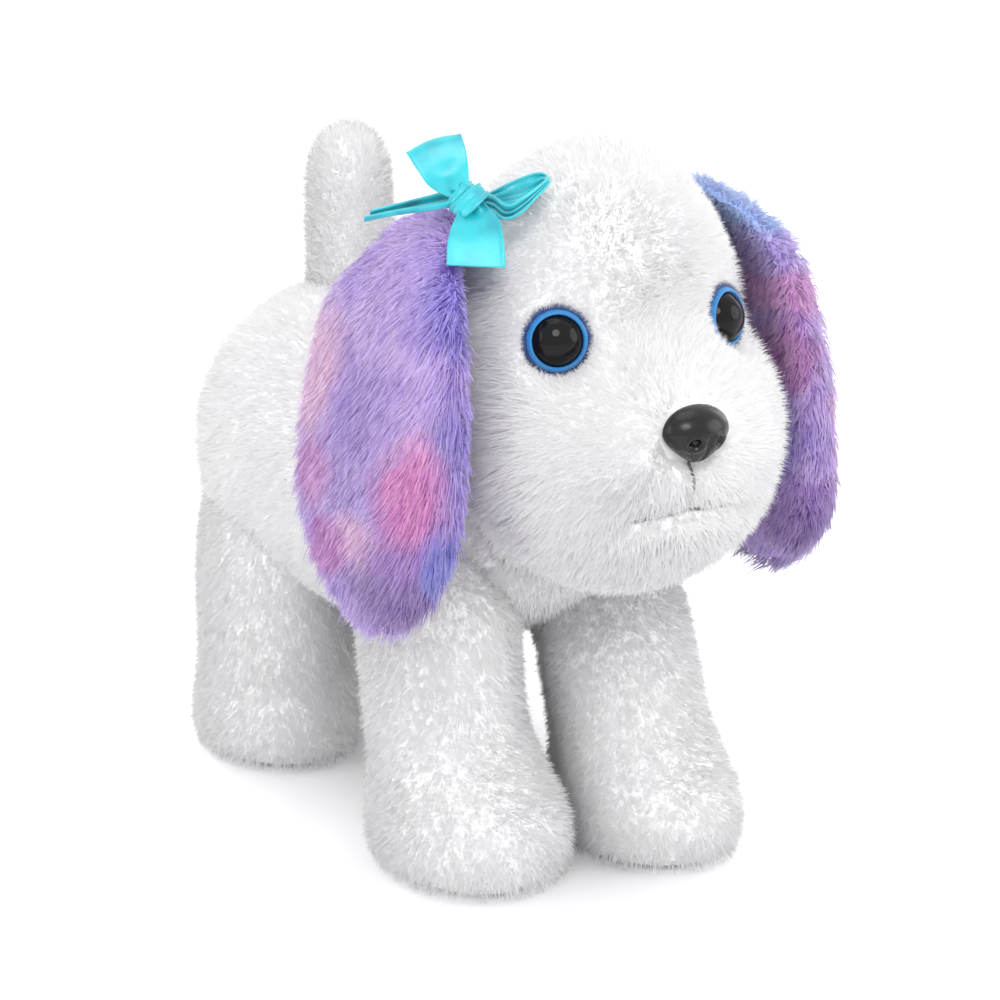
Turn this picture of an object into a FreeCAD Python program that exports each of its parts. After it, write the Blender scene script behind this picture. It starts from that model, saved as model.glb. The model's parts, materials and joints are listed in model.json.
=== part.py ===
import FreeCAD, Part
import math, os
from FreeCAD import Vector as V

# Walking plush puppy, battery driven.  Millimetres, +Z up, the puppy faces -Y, its left side is +X.
# The origin is on the ground, under the middle of the puppy's outline.

# ---------------------------------------------------------------- driving dimensions
SKIN = 3.0                 # plush fabric with its backing, sewn seams
GAP = 0.8                  # running gap between soft parts that move on each other
TOP_OF_HEAD = 236.0
HIP_Z = 84.0               # height of both hip axles
HIP_F = -24.0              # front hip axle, along Y
HIP_R = 86.0               # rear hip axle, along Y
HIP_DISC_R = 33.0          # rounded top of each leg, about its hip
LEG_IN = 30.2              # inner face of a leg's rounded top
LEG_OUT = 53.0             # outer face of it
AXLE_R = 2.0               # steel hip axles
CRANK_Y, CRANK_Z = 30.0, 100.0
CRANK_THROW = 7.0
MODULE = 0.8
T_DRIVE, T_SMALL, T_LARGE, T_PINION = 36, 12, 32, 10
CH_X = 27.0                # half width of the chassis
CH_Y0, CH_Y1 = 2.0, 98.0   # main chassis box
CH_Z0, CH_Z1 = 70.0, 132.0
NOSE_X, NOSE_Y0, NOSE_Z0, NOSE_Z1 = 18.0, -32.0, 80.0, 128.0   # narrower front of the chassis
WALL = 2.0
NECK_Y = -62.0             # head turns about a vertical line here
NECK_R = 20.0
NECK_TOP = 149.0
TAIL_Y, TAIL_Z = 84.0, 156.0
TAIL_R = 14.5
EYE = (30.0, -92.0, 183.0)
EYE_AZ, EYE_EL = 22.0, 8.0
EYE_R = 8.0
NOSE_AT = (0.0, -119.0, 158.0)
EAR_HINGE = (40.0, 224.0)  # X and Z of the line along which an ear is sewn on
AAA_R, AAA_L = 5.25, 44.5

os.makedirs("parts", exist_ok=True)
X, Y, Z = V(1, 0, 0), V(0, 1, 0), V(0, 0, 1)
made = []


def save(name, shape):
    solids = shape.Solids
    vol = sum(s.Volume for s in solids)
    ok = all(s.isValid() for s in solids) and vol > 0
    if len(solids) == 1:
        shape = solids[0]
    else:
        shape = Part.makeCompound(solids)
    shape.exportStep("parts/%s.step" % name)
    made.append(name)
    b = shape.BoundBox
    print("%-22s solids %2d  vol %10.1f  %s  x %.1f..%.1f y %.1f..%.1f z %.1f..%.1f" % (
        name, len(solids), vol, "ok" if ok else "BAD", b.XMin, b.XMax, b.YMin, b.YMax, b.ZMin, b.ZMax))


def ring(points):
    c = Part.BSplineCurve()
    c.interpolate(Points=points, PeriodicFlag=True)
    return Part.Wire([c.toShape()])


def power(v, n):
    return math.copysign(abs(v) ** (2.0 / n), v)


def oval_xy(cx, cy, z, a, b, n=2.0, k=12):
    pts = []
    for i in range(k):
        t = 2 * math.pi * i / k
        pts.append(V(cx + a * power(math.cos(t), n), cy + b * power(math.sin(t), n), z))
    return ring(pts)


def oval_xz(y, a, zb, zt, n_low=2.0, n_high=2.0, k=16):
    zc = 0.5 * (zb + zt)
    h = 0.5 * (zt - zb)
    pts = []
    for i in range(k):
        t = 2 * math.pi * i / k
        n = n_high if math.sin(t) >= 0 else n_low
        pts.append(V(a * power(math.cos(t), n), y, zc + h * power(math.sin(t), n)))
    return ring(pts)


def loft(wires):
    s = Part.makeLoft(wires, True, False)
    if s.Volume < 0:
        s.reverse()
    return s


def box(x0, x1, y0, y1, z0, z1):
    return Part.makeBox(x1 - x0, y1 - y0, z1 - z0, V(x0, y0, z0))


def cyl_x(r, x0, x1, y, z):
    return Part.makeCylinder(r, x1 - x0, V(x0, y, z), X)


def cyl_z(r, x, y, z0, z1):
    return Part.makeCylinder(r, z1 - z0, V(x, y, z0), Z)


def fuse(items):
    s = items[0]
    for i in items[1:]:
        s = s.fuse(i)
    return s.removeSplitter()


def cut(s, items):
    for i in items:
        s = s.cut(i)
    return s


def prism_x(pts, x0, x1):
    w = Part.makePolygon([V(x0, p[0], p[1]) for p in pts] + [V(x0, pts[0][0], pts[0][1])])
    return Part.Face(w).extrude(V(x1 - x0, 0, 0))


def hull(points):
    pts = sorted(set((round(p[0], 3), round(p[1], 3)) for p in points))

    def half(seq):
        out = []
        for p in seq:
            while len(out) >= 2 and ((out[-1][0] - out[-2][0]) * (p[1] - out[-2][1])
                                     - (out[-1][1] - out[-2][1]) * (p[0] - out[-2][0])) <= 0:
                out.pop()
            out.append(p)
        return out
    lo, hi = half(pts), half(reversed(pts))
    return lo[:-1] + hi[:-1]


def turn(p, c, deg):
    a = math.radians(deg)
    dy, dz = p[0] - c[0], p[1] - c[1]
    return (c[0] + dy * math.cos(a) - dz * math.sin(a), c[1] + dy * math.sin(a) + dz * math.cos(a))


def mirror(s):
    return s.mirror(V(0, 0, 0), X)


# ---------------------------------------------------------------- legs
# each section: height, centre along Y, half width in X, half length in Y.  All legs stand 30 mm off the middle.
LEGS = {
    "front_right": dict(side=-1, hip=HIP_F, x=30.0, swing=(-11.5, 2.5), sec=[
        (0, -37.5, 24, 30), (4, -38, 27.2, 34.3), (12, -38, 28.6, 36), (22, -37.5, 28.2, 35),
        (32, -34.5, 26.9, 31), (45, -29.5, 26.2, 28), (60, -26, 26.4, 27.5), (72, -24.5, 26.2, 28), (84, -24, 25.5, 29)]),
    "front_left": dict(side=1, hip=HIP_F, x=30.5, swing=(-2.5, 11.5), sec=[
        (0, -51, 24, 29), (4, -51.5, 27.2, 33), (12, -51.5, 28.6, 35), (22, -51, 28.2, 34),
        (32, -47.5, 26.9, 30.5), (45, -43, 26.2, 28), (60, -39, 26.4, 27.5), (72, -34, 26.2, 28.3), (84, -28, 25.5, 29)]),
    "hind_right": dict(side=-1, hip=HIP_R, x=31.0, swing=(-2.5, 11.5), sec=[
        (0, 88, 24, 30), (4, 88, 27.4, 34), (12, 88, 28.6, 36), (22, 87.5, 28.2, 35.5),
        (32, 87, 27.4, 33.8), (45, 86, 27.4, 34.5), (60, 86, 27.6, 35.5), (72, 86, 27.2, 35), (84, 86, 26, 33)]),
    "hind_left": dict(side=1, hip=HIP_R, x=31.0, swing=(-11.5, 2.5), sec=[
        (0, 94, 24, 29), (4, 94, 27.4, 32.5), (12, 94, 28.6, 34), (22, 93.5, 28.2, 33.8),
        (32, 92, 27.4, 33), (45, 90.5, 27.4, 34), (60, 89, 27.6, 35), (72, 87.5, 27.2, 35), (84, 86, 26, 33)]),
}
FRONT_ARM = (33.9, 36.2)
REAR_ARM = (36.7, 39.0)
PIN_L = (CRANK_Y + 5.74, CRANK_Z - 4.0)
PIN_R = (CRANK_Y - 5.74, CRANK_Z + 4.0)
FOOT_PLATE = (5.0, 8.0)

leg_clear = []
for name, L in LEGS.items():
    s, hip = L["side"], L["hip"]
    cx = s * L["x"]
    body = loft([oval_xy(cx, cy, z, a, b) for z, cy, a, b in L["sec"]])
    inner = cyl_x(HIP_DISC_R - GAP + 0.1, -LEG_IN, LEG_IN, hip, HIP_Z)
    above = box(-LEG_IN, LEG_IN, -120, 160, HIP_Z - 24, 140)
    body = body.cut(inner).cut(above)
    x0, x1 = sorted((s * LEG_IN, s * LEG_OUT))
    disc = cyl_x(HIP_DISC_R, x0, x1, hip, HIP_Z)
    outer_rim = [e for e in disc.Edges if abs(e.BoundBox.XMin - s * LEG_OUT) < 0.01 and abs(e.BoundBox.XMax - s * LEG_OUT) < 0.01]
    disc = disc.makeFillet(7.0, outer_rim[:1])
    body = body.fuse(disc)
    # the moulded leg bone: hip boss, shank, foot plate and the drive arm that reaches the crank
    arm = FRONT_ARM if "front" in name else REAR_ARM
    pin = PIN_L if s > 0 else PIN_R
    foot_y = L["sec"][2][1]
    b0, b1 = sorted((s * (LEG_IN + 0.4), s * 39.6))
    boss = cyl_x(6.0, b0, b1, hip, HIP_Z)
    d = V(0, foot_y + 8 * (1 if "front" in name else 0) - hip, FOOT_PLATE[0] - HIP_Z)
    h0, h1 = sorted((s * (LEG_IN + 0.4), s * 33.6))
    n = V(0, -d.z, d.y)
    n.normalize()
    pts = [(hip + n.y * 5, HIP_Z + n.z * 5), (hip - n.y * 5, HIP_Z - n.z * 5),
           (hip + d.y - n.y * 6, HIP_Z + d.z - n.z * 6 + 0.0), (hip + d.y + n.y * 6, HIP_Z + d.z + n.z * 6)]
    pts[2] = (pts[2][0], FOOT_PLATE[0] + 1.0)
    pts[3] = (pts[3][0], FOOT_PLATE[0] + 1.0)
    shank = prism_x(hull(pts), h0, h1)
    plate = loft([oval_xy(cx, foot_y, FOOT_PLATE[0], 19, 25), oval_xy(cx, foot_y, FOOT_PLATE[1], 19, 25)])
    ad = V(0, pin[0] - hip, pin[1] - HIP_Z)
    an = V(0, -ad.z, ad.y)
    an.normalize()
    a0, a1 = sorted((s * arm[0], s * arm[1]))
    end = V(0, ad.y, ad.z)
    end.normalize()
    ex = (pin[0] + end.y * 6, pin[1] + end.z * 6)
    armp = prism_x(hull([(hip + an.y * 5, HIP_Z + an.z * 5), (hip - an.y * 5, HIP_Z - an.z * 5),
                         (ex[0] + an.y * 5, ex[1] + an.z * 5), (ex[0] - an.y * 5, ex[1] - an.z * 5)]), a0, a1)
    slot = prism_x(hull([(pin[0] - end.y * 3.5 + an.y * 1.9, pin[1] - end.z * 3.5 + an.z * 1.9),
                         (pin[0] - end.y * 3.5 - an.y * 1.9, pin[1] - end.z * 3.5 - an.z * 1.9),
                         (pin[0] + end.y * 3.5 + an.y * 1.9, pin[1] + end.z * 3.5 + an.z * 1.9),
                         (pin[0] + end.y * 3.5 - an.y * 1.9, pin[1] + end.z * 3.5 - an.z * 1.9)]), a0 - 1, a1 + 1)
    bone = fuse([boss, shank, plate, armp])
    bone = bone.cut(cyl_x(AXLE_R + 0.06, b0 - 1, b1 + 1, hip, HIP_Z)).cut(slot)
    c0, c1 = sorted((s * (LEG_IN - 1), s * 45.0))
    axle_room = cyl_x(4.6, c0, c1, hip, HIP_Z)
    r0, r1 = sorted((s * (arm[0] - 0.3), s * (arm[1] + 0.3)))
    arm_room = prism_x(hull([(hip + an.y * 5.3, HIP_Z + an.z * 5.3), (hip - an.y * 5.3, HIP_Z - an.z * 5.3),
                             (ex[0] + an.y * 5.3, ex[1] + an.z * 5.3), (ex[0] - an.y * 5.3, ex[1] - an.z * 5.3)]), r0, r1)
    plush = cut(body, [boss, shank, plate, axle_room, arm_room])
    plush = max(plush.Solids, key=lambda q: q.Volume)
    save("leg_%s_plush" % name, plush)
    save("leg_%s_bone" % name, bone)
    # space that the leg sweeps, kept clear in the body
    prof = []
    for z, cy, a, b in L["sec"]:
        prof += [(cy - b - 1.2, z), (cy + b + 1.2, z)]
    pts = []
    for ang in (L["swing"][0], 0, 0.5 * (L["swing"][0] + L["swing"][1]), L["swing"][1]):
        pts += [turn(p, (hip, HIP_Z), ang) for p in prof]
    h = hull(pts)
    zone = cyl_x(HIP_DISC_R - 1.5, 0 if s > 0 else -29.6, 29.6 if s > 0 else 0, hip, HIP_Z)
    up = box(0 if s > 0 else -29.6, 29.6 if s > 0 else 0, -130, 170, HIP_Z - 14.5, 150)
    leg_clear.append(cut(prism_x(h, 0 if s > 0 else -29.6, 29.6 if s > 0 else 0), [zone, up]))
    q0, q1 = sorted((s * 29.6, s * 66.0))
    leg_clear.append(prism_x(h, q0, q1))
    leg_clear.append(cyl_x(HIP_DISC_R + 1.0, q0, q1, hip, HIP_Z))

# ---------------------------------------------------------------- torso skin and filling
# section: y, half width, lowest, highest
TORSO = [(-56.5, 10, 96, 116), (-50, 22.7, 86.6, 125.4), (-40, 33, 77.8, 134.2), (-25, 42.5, 69.8, 142.2),
         (-5, 49.9, 63.5, 148.5), (20, 53.5, 61.2, 152), (45, 54, 60.6, 158.5), (65, 55.2, 60, 168),
         (80, 56, 60, 171), (95, 52.9, 62, 168), (108, 45, 70, 160), (118, 33, 80, 149), (124, 20, 92, 136), (127, 8, 103, 125)]


def torso_loft(t):
    w = []
    for y, a, zb, zt in TORSO:
        yy = y + (t if y < 0 else -t) * (1 if (y < -45 or y > 115) else 0)
        if a - t < 3:
            continue
        w.append(oval_xz(yy, a - t, zb + t, zt - t, 2.8, 2.0))
    return loft(w)


outer = torso_loft(0)
neck = fuse([cyl_z(NECK_R, 0, NECK_Y, 116, NECK_TOP), box(-14, 14, NECK_Y, -15, 116, 133.6)])
neck_hollow = fuse([cyl_z(NECK_R - SKIN, 0, NECK_Y, 119, NECK_TOP - SKIN), box(-11, 11, NECK_Y, -15, 119, 130.6)])
inner = torso_loft(SKIN)
filling = torso_loft(SKIN + 0.3)
tail_room = [Part.makeSphere(TAIL_R + 1.5, V(0, TAIL_Y, TAIL_Z))]
for ang in (-18, -9, 0, 9, 18):
    tail_room.append(Part.makeCylinder(TAIL_R + 0.8, 60, V(0, TAIL_Y, TAIL_Z),
                                       V(math.sin(math.radians(ang)), 0, math.cos(math.radians(ang)))))
belly_hole = box(-26.5, 26.5, 9.5, 43.5, 50, 76)
flat_belly = box(-60, 60, 6, 47, 40, 61.9)
torso = outer.fuse(neck)
torso = cut(torso, [inner, neck_hollow, cyl_z(8.6, 0, NECK_Y, 140, 160)] + leg_clear + tail_room + [belly_hole, flat_belly])
torso = max(torso.Solids, key=lambda q: q.Volume)
save("torso_plush", torso)

chassis_room = [box(-CH_X - 0.4, CH_X + 0.4, CH_Y0 - 0.4, CH_Y1 + 0.4, 50, CH_Z1 + 0.4),
                box(-NOSE_X - 0.4, NOSE_X + 0.4, NOSE_Y0 - 0.4, CH_Y0 + 1, 50, NOSE_Z1 + 0.4),
                box(-42, 42, -34, 98, 50, 122),
                box(-15, 15, -80, NOSE_Y0 + 1, 112, 145),
                box(-12, 12, 68, 100, 120, 150),
                box(-13, 13, 27, 53, 120, 144)]
fill = cut(filling, chassis_room + leg_clear + tail_room)
fill = Part.makeCompound([q for q in fill.Solids if q.Volume > 2000])
save("torso_stuffing", fill)

# ---------------------------------------------------------------- chassis, two halves that meet at X = 0
shell_out = fuse([box(-CH_X, CH_X, CH_Y0, CH_Y1, CH_Z0, CH_Z1), box(-NOSE_X, NOSE_X, NOSE_Y0, CH_Y0 + 0.5, NOSE_Z0, NOSE_Z1)])
shell_in = fuse([box(-CH_X + WALL, CH_X - WALL, CH_Y0 + WALL, CH_Y1 - WALL, CH_Z0 + WALL, CH_Z1 - WALL),
                 box(-NOSE_X + WALL, NOSE_X - WALL, NOSE_Y0 + WALL, CH_Y0 + WALL + 1, NOSE_Z0 + WALL, NOSE_Z1 - WALL)])
BAT_Y0, BAT_Y1 = 9.8, 43.2
DOOR_X0, DOOR_X1 = -26.2, 19.0
SCREWS = [(8.3, 126.6), (91.2, 77.0), (91.2, 126.6), (64.0, 77.0)]
for side in (1, -1):
    h = box(0, 60, -60, 130, 40, 160) if side > 0 else box(-60, 0, -60, 130, 40, 160)
    c = shell_out.common(h).cut(shell_in)
    tray = box(-CH_X + 0.5, CH_X - 0.5, BAT_Y0 - 2, BAT_Y1 + 2, CH_Z0 + 0.5, 84.5).common(h)
    c = c.fuse(tray)
    for y, z in SCREWS:
        c = c.fuse(cyl_x(3.7, -CH_X + 1, CH_X - 1, y, z).common(h))
    c = c.fuse(cyl_x(5.0, -NOSE_X + 1, NOSE_X - 1, HIP_F, HIP_Z).common(h))
    c = c.fuse(cyl_x(5.0, -CH_X + 1, CH_X - 1, HIP_R, HIP_Z).common(h))
    c = c.cut(box(-26.0, 19.2, BAT_Y0 - 0.1, BAT_Y1 + 0.1, CH_Z0 - 1, 82.5)).cut(box(20.4, 26.0, 17, 36, CH_Z0 - 1, 78.5))
    c = c.cut(cyl_x(AXLE_R + 0.02, -60, 60, HIP_F, HIP_Z)).cut(cyl_x(AXLE_R + 0.02, -60, 60, HIP_R, HIP_Z))
    c = c.cut(cyl_x(AXLE_R + 0.35, -60, 60, CRANK_Y, CRANK_Z))
    for y, z in SCREWS:
        c = c.cut(cyl_x(1.26, -14, 40, y, z)).cut(cyl_x(2.6, CH_X - 2.4, CH_X + 5, y, z))
    c = c.cut(cyl_z(7.0, 0, 40, CH_Z1 - 4, CH_Z1 + 4))
    for i in range(-2, 3):
        for j in range(-2, 3):
            if i * i + j * j <= 5 and i != 0:
                c = c.cut(Part.makeCylinder(1.1, 8, V(i * 4.6, NOSE_Y0 - 3, 108 + j * 4.6), Y))
    save("chassis_left" if side > 0 else "chassis_right", c)
screws = []
for y, z in SCREWS:
    screws.append(cyl_x(1.25, -10, CH_X - 2.3, y, z).fuse(cyl_x(2.5, CH_X - 2.3, CH_X - 0.5, y, z)).removeSplitter())
save("chassis_screws", Part.makeCompound(screws))
save("front_hip_axle", cyl_x(AXLE_R, -42.5, 42.5, HIP_F, HIP_Z))
save("rear_hip_axle", cyl_x(AXLE_R, -42.5, 42.5, HIP_R, HIP_Z))
clips = []
for hip in (HIP_F, HIP_R):
    for s in (-1, 1):
        a, b = sorted((s * 40.2, s * 41.2))
        clips.append(cyl_x(4.0, a, b, hip, HIP_Z).cut(cyl_x(AXLE_R, a - 1, b + 1, hip, HIP_Z)))
save("axle_clips", Part.makeCompound(clips))

# batteries and their door
bats = []
for i in range(3):
    y = BAT_Y0 + 0.9 + AAA_R + i * (2 * AAA_R + 0.35)
    x0 = -25.35
    cell = cyl_x(AAA_R, x0, x0 + AAA_L - 1.0, y, 76.6)
    nub = cyl_x(1.9, x0 + AAA_L - 1.0, x0 + AAA_L - 0.2, y, 76.6) if i % 2 == 0 else None
    bats.append(cell.fuse(nub).removeSplitter() if nub else cell)
save("batteries", Part.makeCompound(bats))
contacts = []
for i in range(3):
    y = BAT_Y0 + 0.9 + AAA_R + i * (2 * AAA_R + 0.35)
    contacts.append(box(-25.95, -25.45, y - 4, y + 4, 72.6, 80.6))
    contacts.append(box(18.97, 19.15, y - 4, y + 4, 72.6, 80.6))
door = box(DOOR_X0 + 0.2, DOOR_X1, BAT_Y0 + 0.2, BAT_Y1 - 0.2, CH_Z0 - 1.6, CH_Z0 + 0.6)
lip = box(DOOR_X0 + 0.4, DOOR_X1 - 0.4, BAT_Y0 + 0.6, BAT_Y0 + 1.8, CH_Z0 + 0.6, CH_Z0 + 1.2)
lug = box(DOOR_X1 - 8, DOOR_X1, BAT_Y1 - 9, BAT_Y1 - 0.2, CH_Z0 - 2.4, CH_Z0 - 1.6)
door = fuse([door, lip, lug])
door = door.cut(cyl_z(1.4, DOOR_X1 - 3.6, BAT_Y1 - 3.4, 60, 75)).cut(cyl_z(2.7, DOOR_X1 - 3.6, BAT_Y1 - 3.4, CH_Z0 - 3, CH_Z0 - 1.2))
save("battery_door", door)
save("battery_door_screw", cyl_z(2.5, DOOR_X1 - 3.6, BAT_Y1 - 3.4, CH_Z0 - 2.9, CH_Z0 - 1.2).fuse(
    cyl_z(1.25, DOOR_X1 - 3.6, BAT_Y1 - 3.4, CH_Z0 - 1.2, CH_Z0 + 1.2)).removeSplitter())
save("battery_contacts", Part.makeCompound(contacts))

# power switch: fixed body and the slider that shows beside the battery door
sw = box(20.6, 25.8, 18, 35, 72.2, 78.3).cut(box(22.0, 24.4, 21.5, 31.5, 71, 76.5))
save("switch_body", sw)
knob = fuse([box(22.2, 24.2, 22.0, 27.0, 69.0, 76.2), box(21.2, 25.2, 22.0, 27.0, 67.2, 69.0)])
for k in range(3):
    knob = knob.cut(box(21, 25.5, 22.9 + k * 1.4, 23.4 + k * 1.4, 67.0, 67.6))
save("switch_knob", knob)

# ---------------------------------------------------------------- gear train
def gear(n, m, x0, x1, cy, cz, phase, bore, backlash=0.16):
    rp = n * m / 2.0
    rb = rp * math.cos(math.radians(20))
    ra = rp + 0.72 * m
    rf = rp - 1.15 * m
    inv = math.tan(math.radians(20)) - math.radians(20)
    half = math.pi / (2 * n) - backlash / (2 * rp)
    pts = []
    for i in range(n):
        c = phase + 2 * math.pi * i / n
        side = []
        for r in (max(rb, rf), rp, ra):
            al = math.acos(min(1.0, rb / r))
            th = half + inv - (math.tan(al) - al)
            side.append((r, th))
        foot = (rf, side[0][1])
        left = [(r, c - t) for r, t in [foot] + side]
        right = [(r, c + t) for r, t in reversed([foot] + side)]
        pts += left + right
    uniq = []
    for r, t in pts:
        p = (cy + r * math.cos(t), cz + r * math.sin(t))
        if not uniq or math.hypot(p[0] - uniq[-1][0], p[1] - uniq[-1][1]) > 1e-4:
            uniq.append(p)
    g = prism_x(uniq, x0, x1)
    if bore:
        g = g.cut(cyl_x(bore, x0 - 1, x1 + 1, cy, cz))
    return g


C1 = MODULE * (T_DRIVE + T_SMALL) / 2.0
C2 = MODULE * (T_LARGE + T_PINION) / 2.0
PH1 = math.radians(40.0)
PH2 = math.radians(20.0)
IDY, IDZ = CRANK_Y + C1 * math.cos(PH1), CRANK_Z + C1 * math.sin(PH1)
MOY, MOZ = IDY + C2 * math.cos(PH2), IDZ + C2 * math.sin(PH2)
drive = gear(T_DRIVE, MODULE, 4.0, 8.5, CRANK_Y, CRANK_Z, PH1, AXLE_R)
hub = cyl_x(4.2, 8.5, 11.0, CRANK_Y, CRANK_Z).cut(cyl_x(AXLE_R, 8, 12, CRANK_Y, CRANK_Z))
save("drive_gear", drive.fuse(hub).removeSplitter())
save("crankshaft", cyl_x(AXLE_R, -31.4, 31.4, CRANK_Y, CRANK_Z))
discs = []
for s, pin in ((1, PIN_L), (-1, PIN_R)):
    a, b = sorted((s * 27.9, s * 31.4))
    p0, p1 = sorted((s * 31.4, s * 33.4))
    d = cyl_x(11.0, a, b, CRANK_Y, CRANK_Z).cut(cyl_x(AXLE_R, a - 1, b + 1, CRANK_Y, CRANK_Z))
    discs.append(d.fuse(cyl_x(1.6, p0, p1, pin[0], pin[1])).removeSplitter())
save("crank_discs", Part.makeCompound(discs))
small = gear(T_SMALL, MODULE, 3.4, 9.3, IDY, IDZ, PH1 + math.pi + math.pi / T_SMALL, 1.06)
large = gear(T_LARGE, MODULE, 9.3, 13.0, IDY, IDZ, PH2, 1.06)
save("idler_gear", small.fuse(large).removeSplitter())
save("idler_axle", cyl_x(1.0, -0.5, 18.0, IDY, IDZ))
pinion = gear(T_PINION, MODULE, 8.6, 14.0, MOY, MOZ, PH2 + math.pi + math.pi / T_PINION, 0)
save("motor_pinion", pinion.fuse(cyl_x(1.0, -23.0, 14.6, MOY, MOZ)).removeSplitter())
motor = cyl_x(10.0, -21.5, -1.6, MOY, MOZ).common(box(-30, 10, MOY - 10, MOY + 10, MOZ - 7.6, MOZ + 7.6))
motor = fuse([motor, cyl_x(3.0, -1.6, 0.6, MOY, MOZ)]).cut(cyl_x(1.07, -40, 10, MOY, MOZ))
save("motor", motor)


def plate(x0, x1, motor_hole):
    p = box(x0, x1, CRANK_Y - 18, MOY + 13, 86.5, 129.0)
    p = p.cut(cyl_x(AXLE_R + 0.06, x0 - 1, x1 + 1, CRANK_Y, CRANK_Z)).cut(cyl_x(1.0, x0 - 1, x1 + 1, IDY, IDZ))
    p = p.cut(cyl_x(motor_hole, x0 - 1, x1 + 1, MOY, MOZ))
    for y, z in POSTS:
        p = p.cut(cyl_x(1.3, x0 - 1, x1 + 1, y, z))
    return p.cut(box(-13, 9, 32.6, 47.4, 118.7, 132))


POSTS = [(CRANK_Y - 15.5, 89.5), (CRANK_Y - 14, 125), (MOY + 9, 90.5), (MOY + 9, 125.5)]
save("gearbox_plate_right", plate(-1.4, 0.6, 3.05))
save("gearbox_plate_left", plate(16.0, 18.0, 3.0))
posts = []
for y, z in POSTS:
    posts.append(fuse([cyl_x(2.8, 0.6, 16.0, y, z), cyl_x(1.3, -1.4, 0.6, y, z), cyl_x(1.3, 16.0, 18.0, y, z), cyl_x(2.4, 18.0, 19.2, y, z)]))
save("gearbox_posts", Part.makeCompound(posts))

# ---------------------------------------------------------------- electronics
board = fuse([box(-15.4, -13.8, -8, 40, 88, 122.3).cut(cyl_x(5, -20, 0, CRANK_Y, CRANK_Z))])
chips = fuse([board, box(-13.8, -12.2, -2, 10, 100, 112), box(-13.8, -10.8, 14, 20, 112, 120), box(-13.8, -7.8, -4, 4, 114, 120)])
save("circuit_board", chips)
spk = Part.makeCylinder(14.0, 2.2, V(0, NOSE_Y0 + WALL + 0.1, 108), Y).fuse(Part.makeCylinder(7.5, 5.5, V(0, NOSE_Y0 + WALL + 2.3, 108), Y))
cone = Part.makeCone(11.5, 4.0, 1.8, V(0, NOSE_Y0 + WALL + 0.1, 108), Y)
save("speaker", spk.cut(cone).removeSplitter())
button = fuse([cyl_z(6.6, 0, 40, 129.0, 138.0), cyl_z(11.0, 0, 40, 138.0, 140.0)])
save("back_button", button)
save("button_switch", fuse([box(-4, 4, 36, 44, 119.5, 124.5).fuse(cyl_z(1.8, 0, 40, 124.5, 125.6)),
                            box(-12.0, -1.4, 37, 43, 119.5, 121.0)]))

# ---------------------------------------------------------------- neck post, head bearing
arm_l = box(-8, 8, NECK_Y + 4, NOSE_Y0, 120.0, 127.0)
post = fuse([cyl_z(8.0, 0, NECK_Y, 120.0, 150.2), cyl_z(6.0, 0, NECK_Y, 150.2, 170.3), arm_l])
post = post.cut(cyl_z(1.6, 0, NECK_Y, 160, 171))
save("neck_post", post)
save("neck_screw", fuse([cyl_z(1.6, 0, NECK_Y, 160, 170.3), cyl_z(9.0, 0, NECK_Y, 170.3, 171.5), cyl_z(3.0, 0, NECK_Y, 171.5, 173.3)]))
cup = fuse([cyl_z(11.0, 0, NECK_Y, 150.5, 170.0), cyl_z(14.5, 0, NECK_Y, 150.5, 153.0), cyl_z(14.5, 0, NECK_Y, 163.0, 166.0)])
cup = cup.cut(cyl_z(6.06, 0, NECK_Y, 140, 180))
save("neck_cup", cup)

# ---------------------------------------------------------------- head
HEAD = [(104, -86, 10, 8), (108, -87, 24, 18), (116, -88, 37, 27), (126, -87.5, 45.5, 34.5), (138, -85.5, 50.5, 39.5),
        (148, -83.5, 52.5, 41.5), (158, -80.5, 52.5, 42.5), (168, -75.5, 51.5, 42.5), (176, -71, 50.5, 41), (186, -67, 50, 38.5),
        (198, -65, 48.5, 37.5), (210, -65, 44, 34), (220, -65, 37, 28.5), (228, -65, 28, 21.5), (233.5, -65, 16, 12.5), (236, -65, 6, 5)]


def head_loft(t):
    w = []
    for z, cy, a, b in HEAD:
        zz = z
        if z < 110:
            zz = z + t
        if z > 225:
            zz = z - t
        if b - t < 2.5:
            continue
        w.append(oval_xy(0, cy, zz, a - t, b - t))
    return loft(w)


head_out = head_loft(0)
head_in = head_loft(SKIN)
head_fill = head_loft(SKIN + 0.3)
neck_room = [cyl_z(NECK_R + 1.5, 0, NECK_Y, 112, 150.3)]
eye_bits = {}
sockets = []
shanks = []
for s, nm in ((1, "left"), (-1, "right")):
    az, el = math.radians(EYE_AZ), math.radians(EYE_EL)
    n = V(s * math.sin(az) * math.cos(el), -math.cos(az) * math.cos(el), math.sin(el))
    e = V(s * EYE[0], EYE[1], EYE[2])
    sockets.append(Part.makeCylinder(11.0, 30, e, n))
    dome_r = (EYE_R * EYE_R + 5.2 * 5.2) / (2 * 5.2)
    ball = Part.makeSphere(dome_r, e + n * (1.3 + 5.2 - dome_r))
    cap = ball.common(Part.makeCylinder(EYE_R + 1, 20, e + n * 1.3, n))
    flange = Part.makeCylinder(EYE_R, 1.3, e, n)
    shank = Part.makeCylinder(2.2, 14, e - n * 14, n)
    save("eye_" + nm, fuse([cap, flange, shank]))
    ringp = Part.makeCylinder(10.4, 1.2, e, n).cut(Part.makeCylinder(EYE_R + 0.02, 3, e - n * 1, n))
    eye_bits[nm] = (e, n, ringp)
    shanks.append(Part.makeCylinder(2.2, 22, e - n * 15, n))
save("eye_rings", Part.makeCompound([eye_bits["left"][2], eye_bits["right"][2]]))
washers = []
for nm in ("left", "right"):
    e, n, _ = eye_bits[nm]
    washers.append(Part.makeCylinder(7.0, 1.5, e - n * (SKIN + 2.0), n).cut(Part.makeCylinder(2.2, 4, e - n * (SKIN + 3.0), n)))
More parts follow.
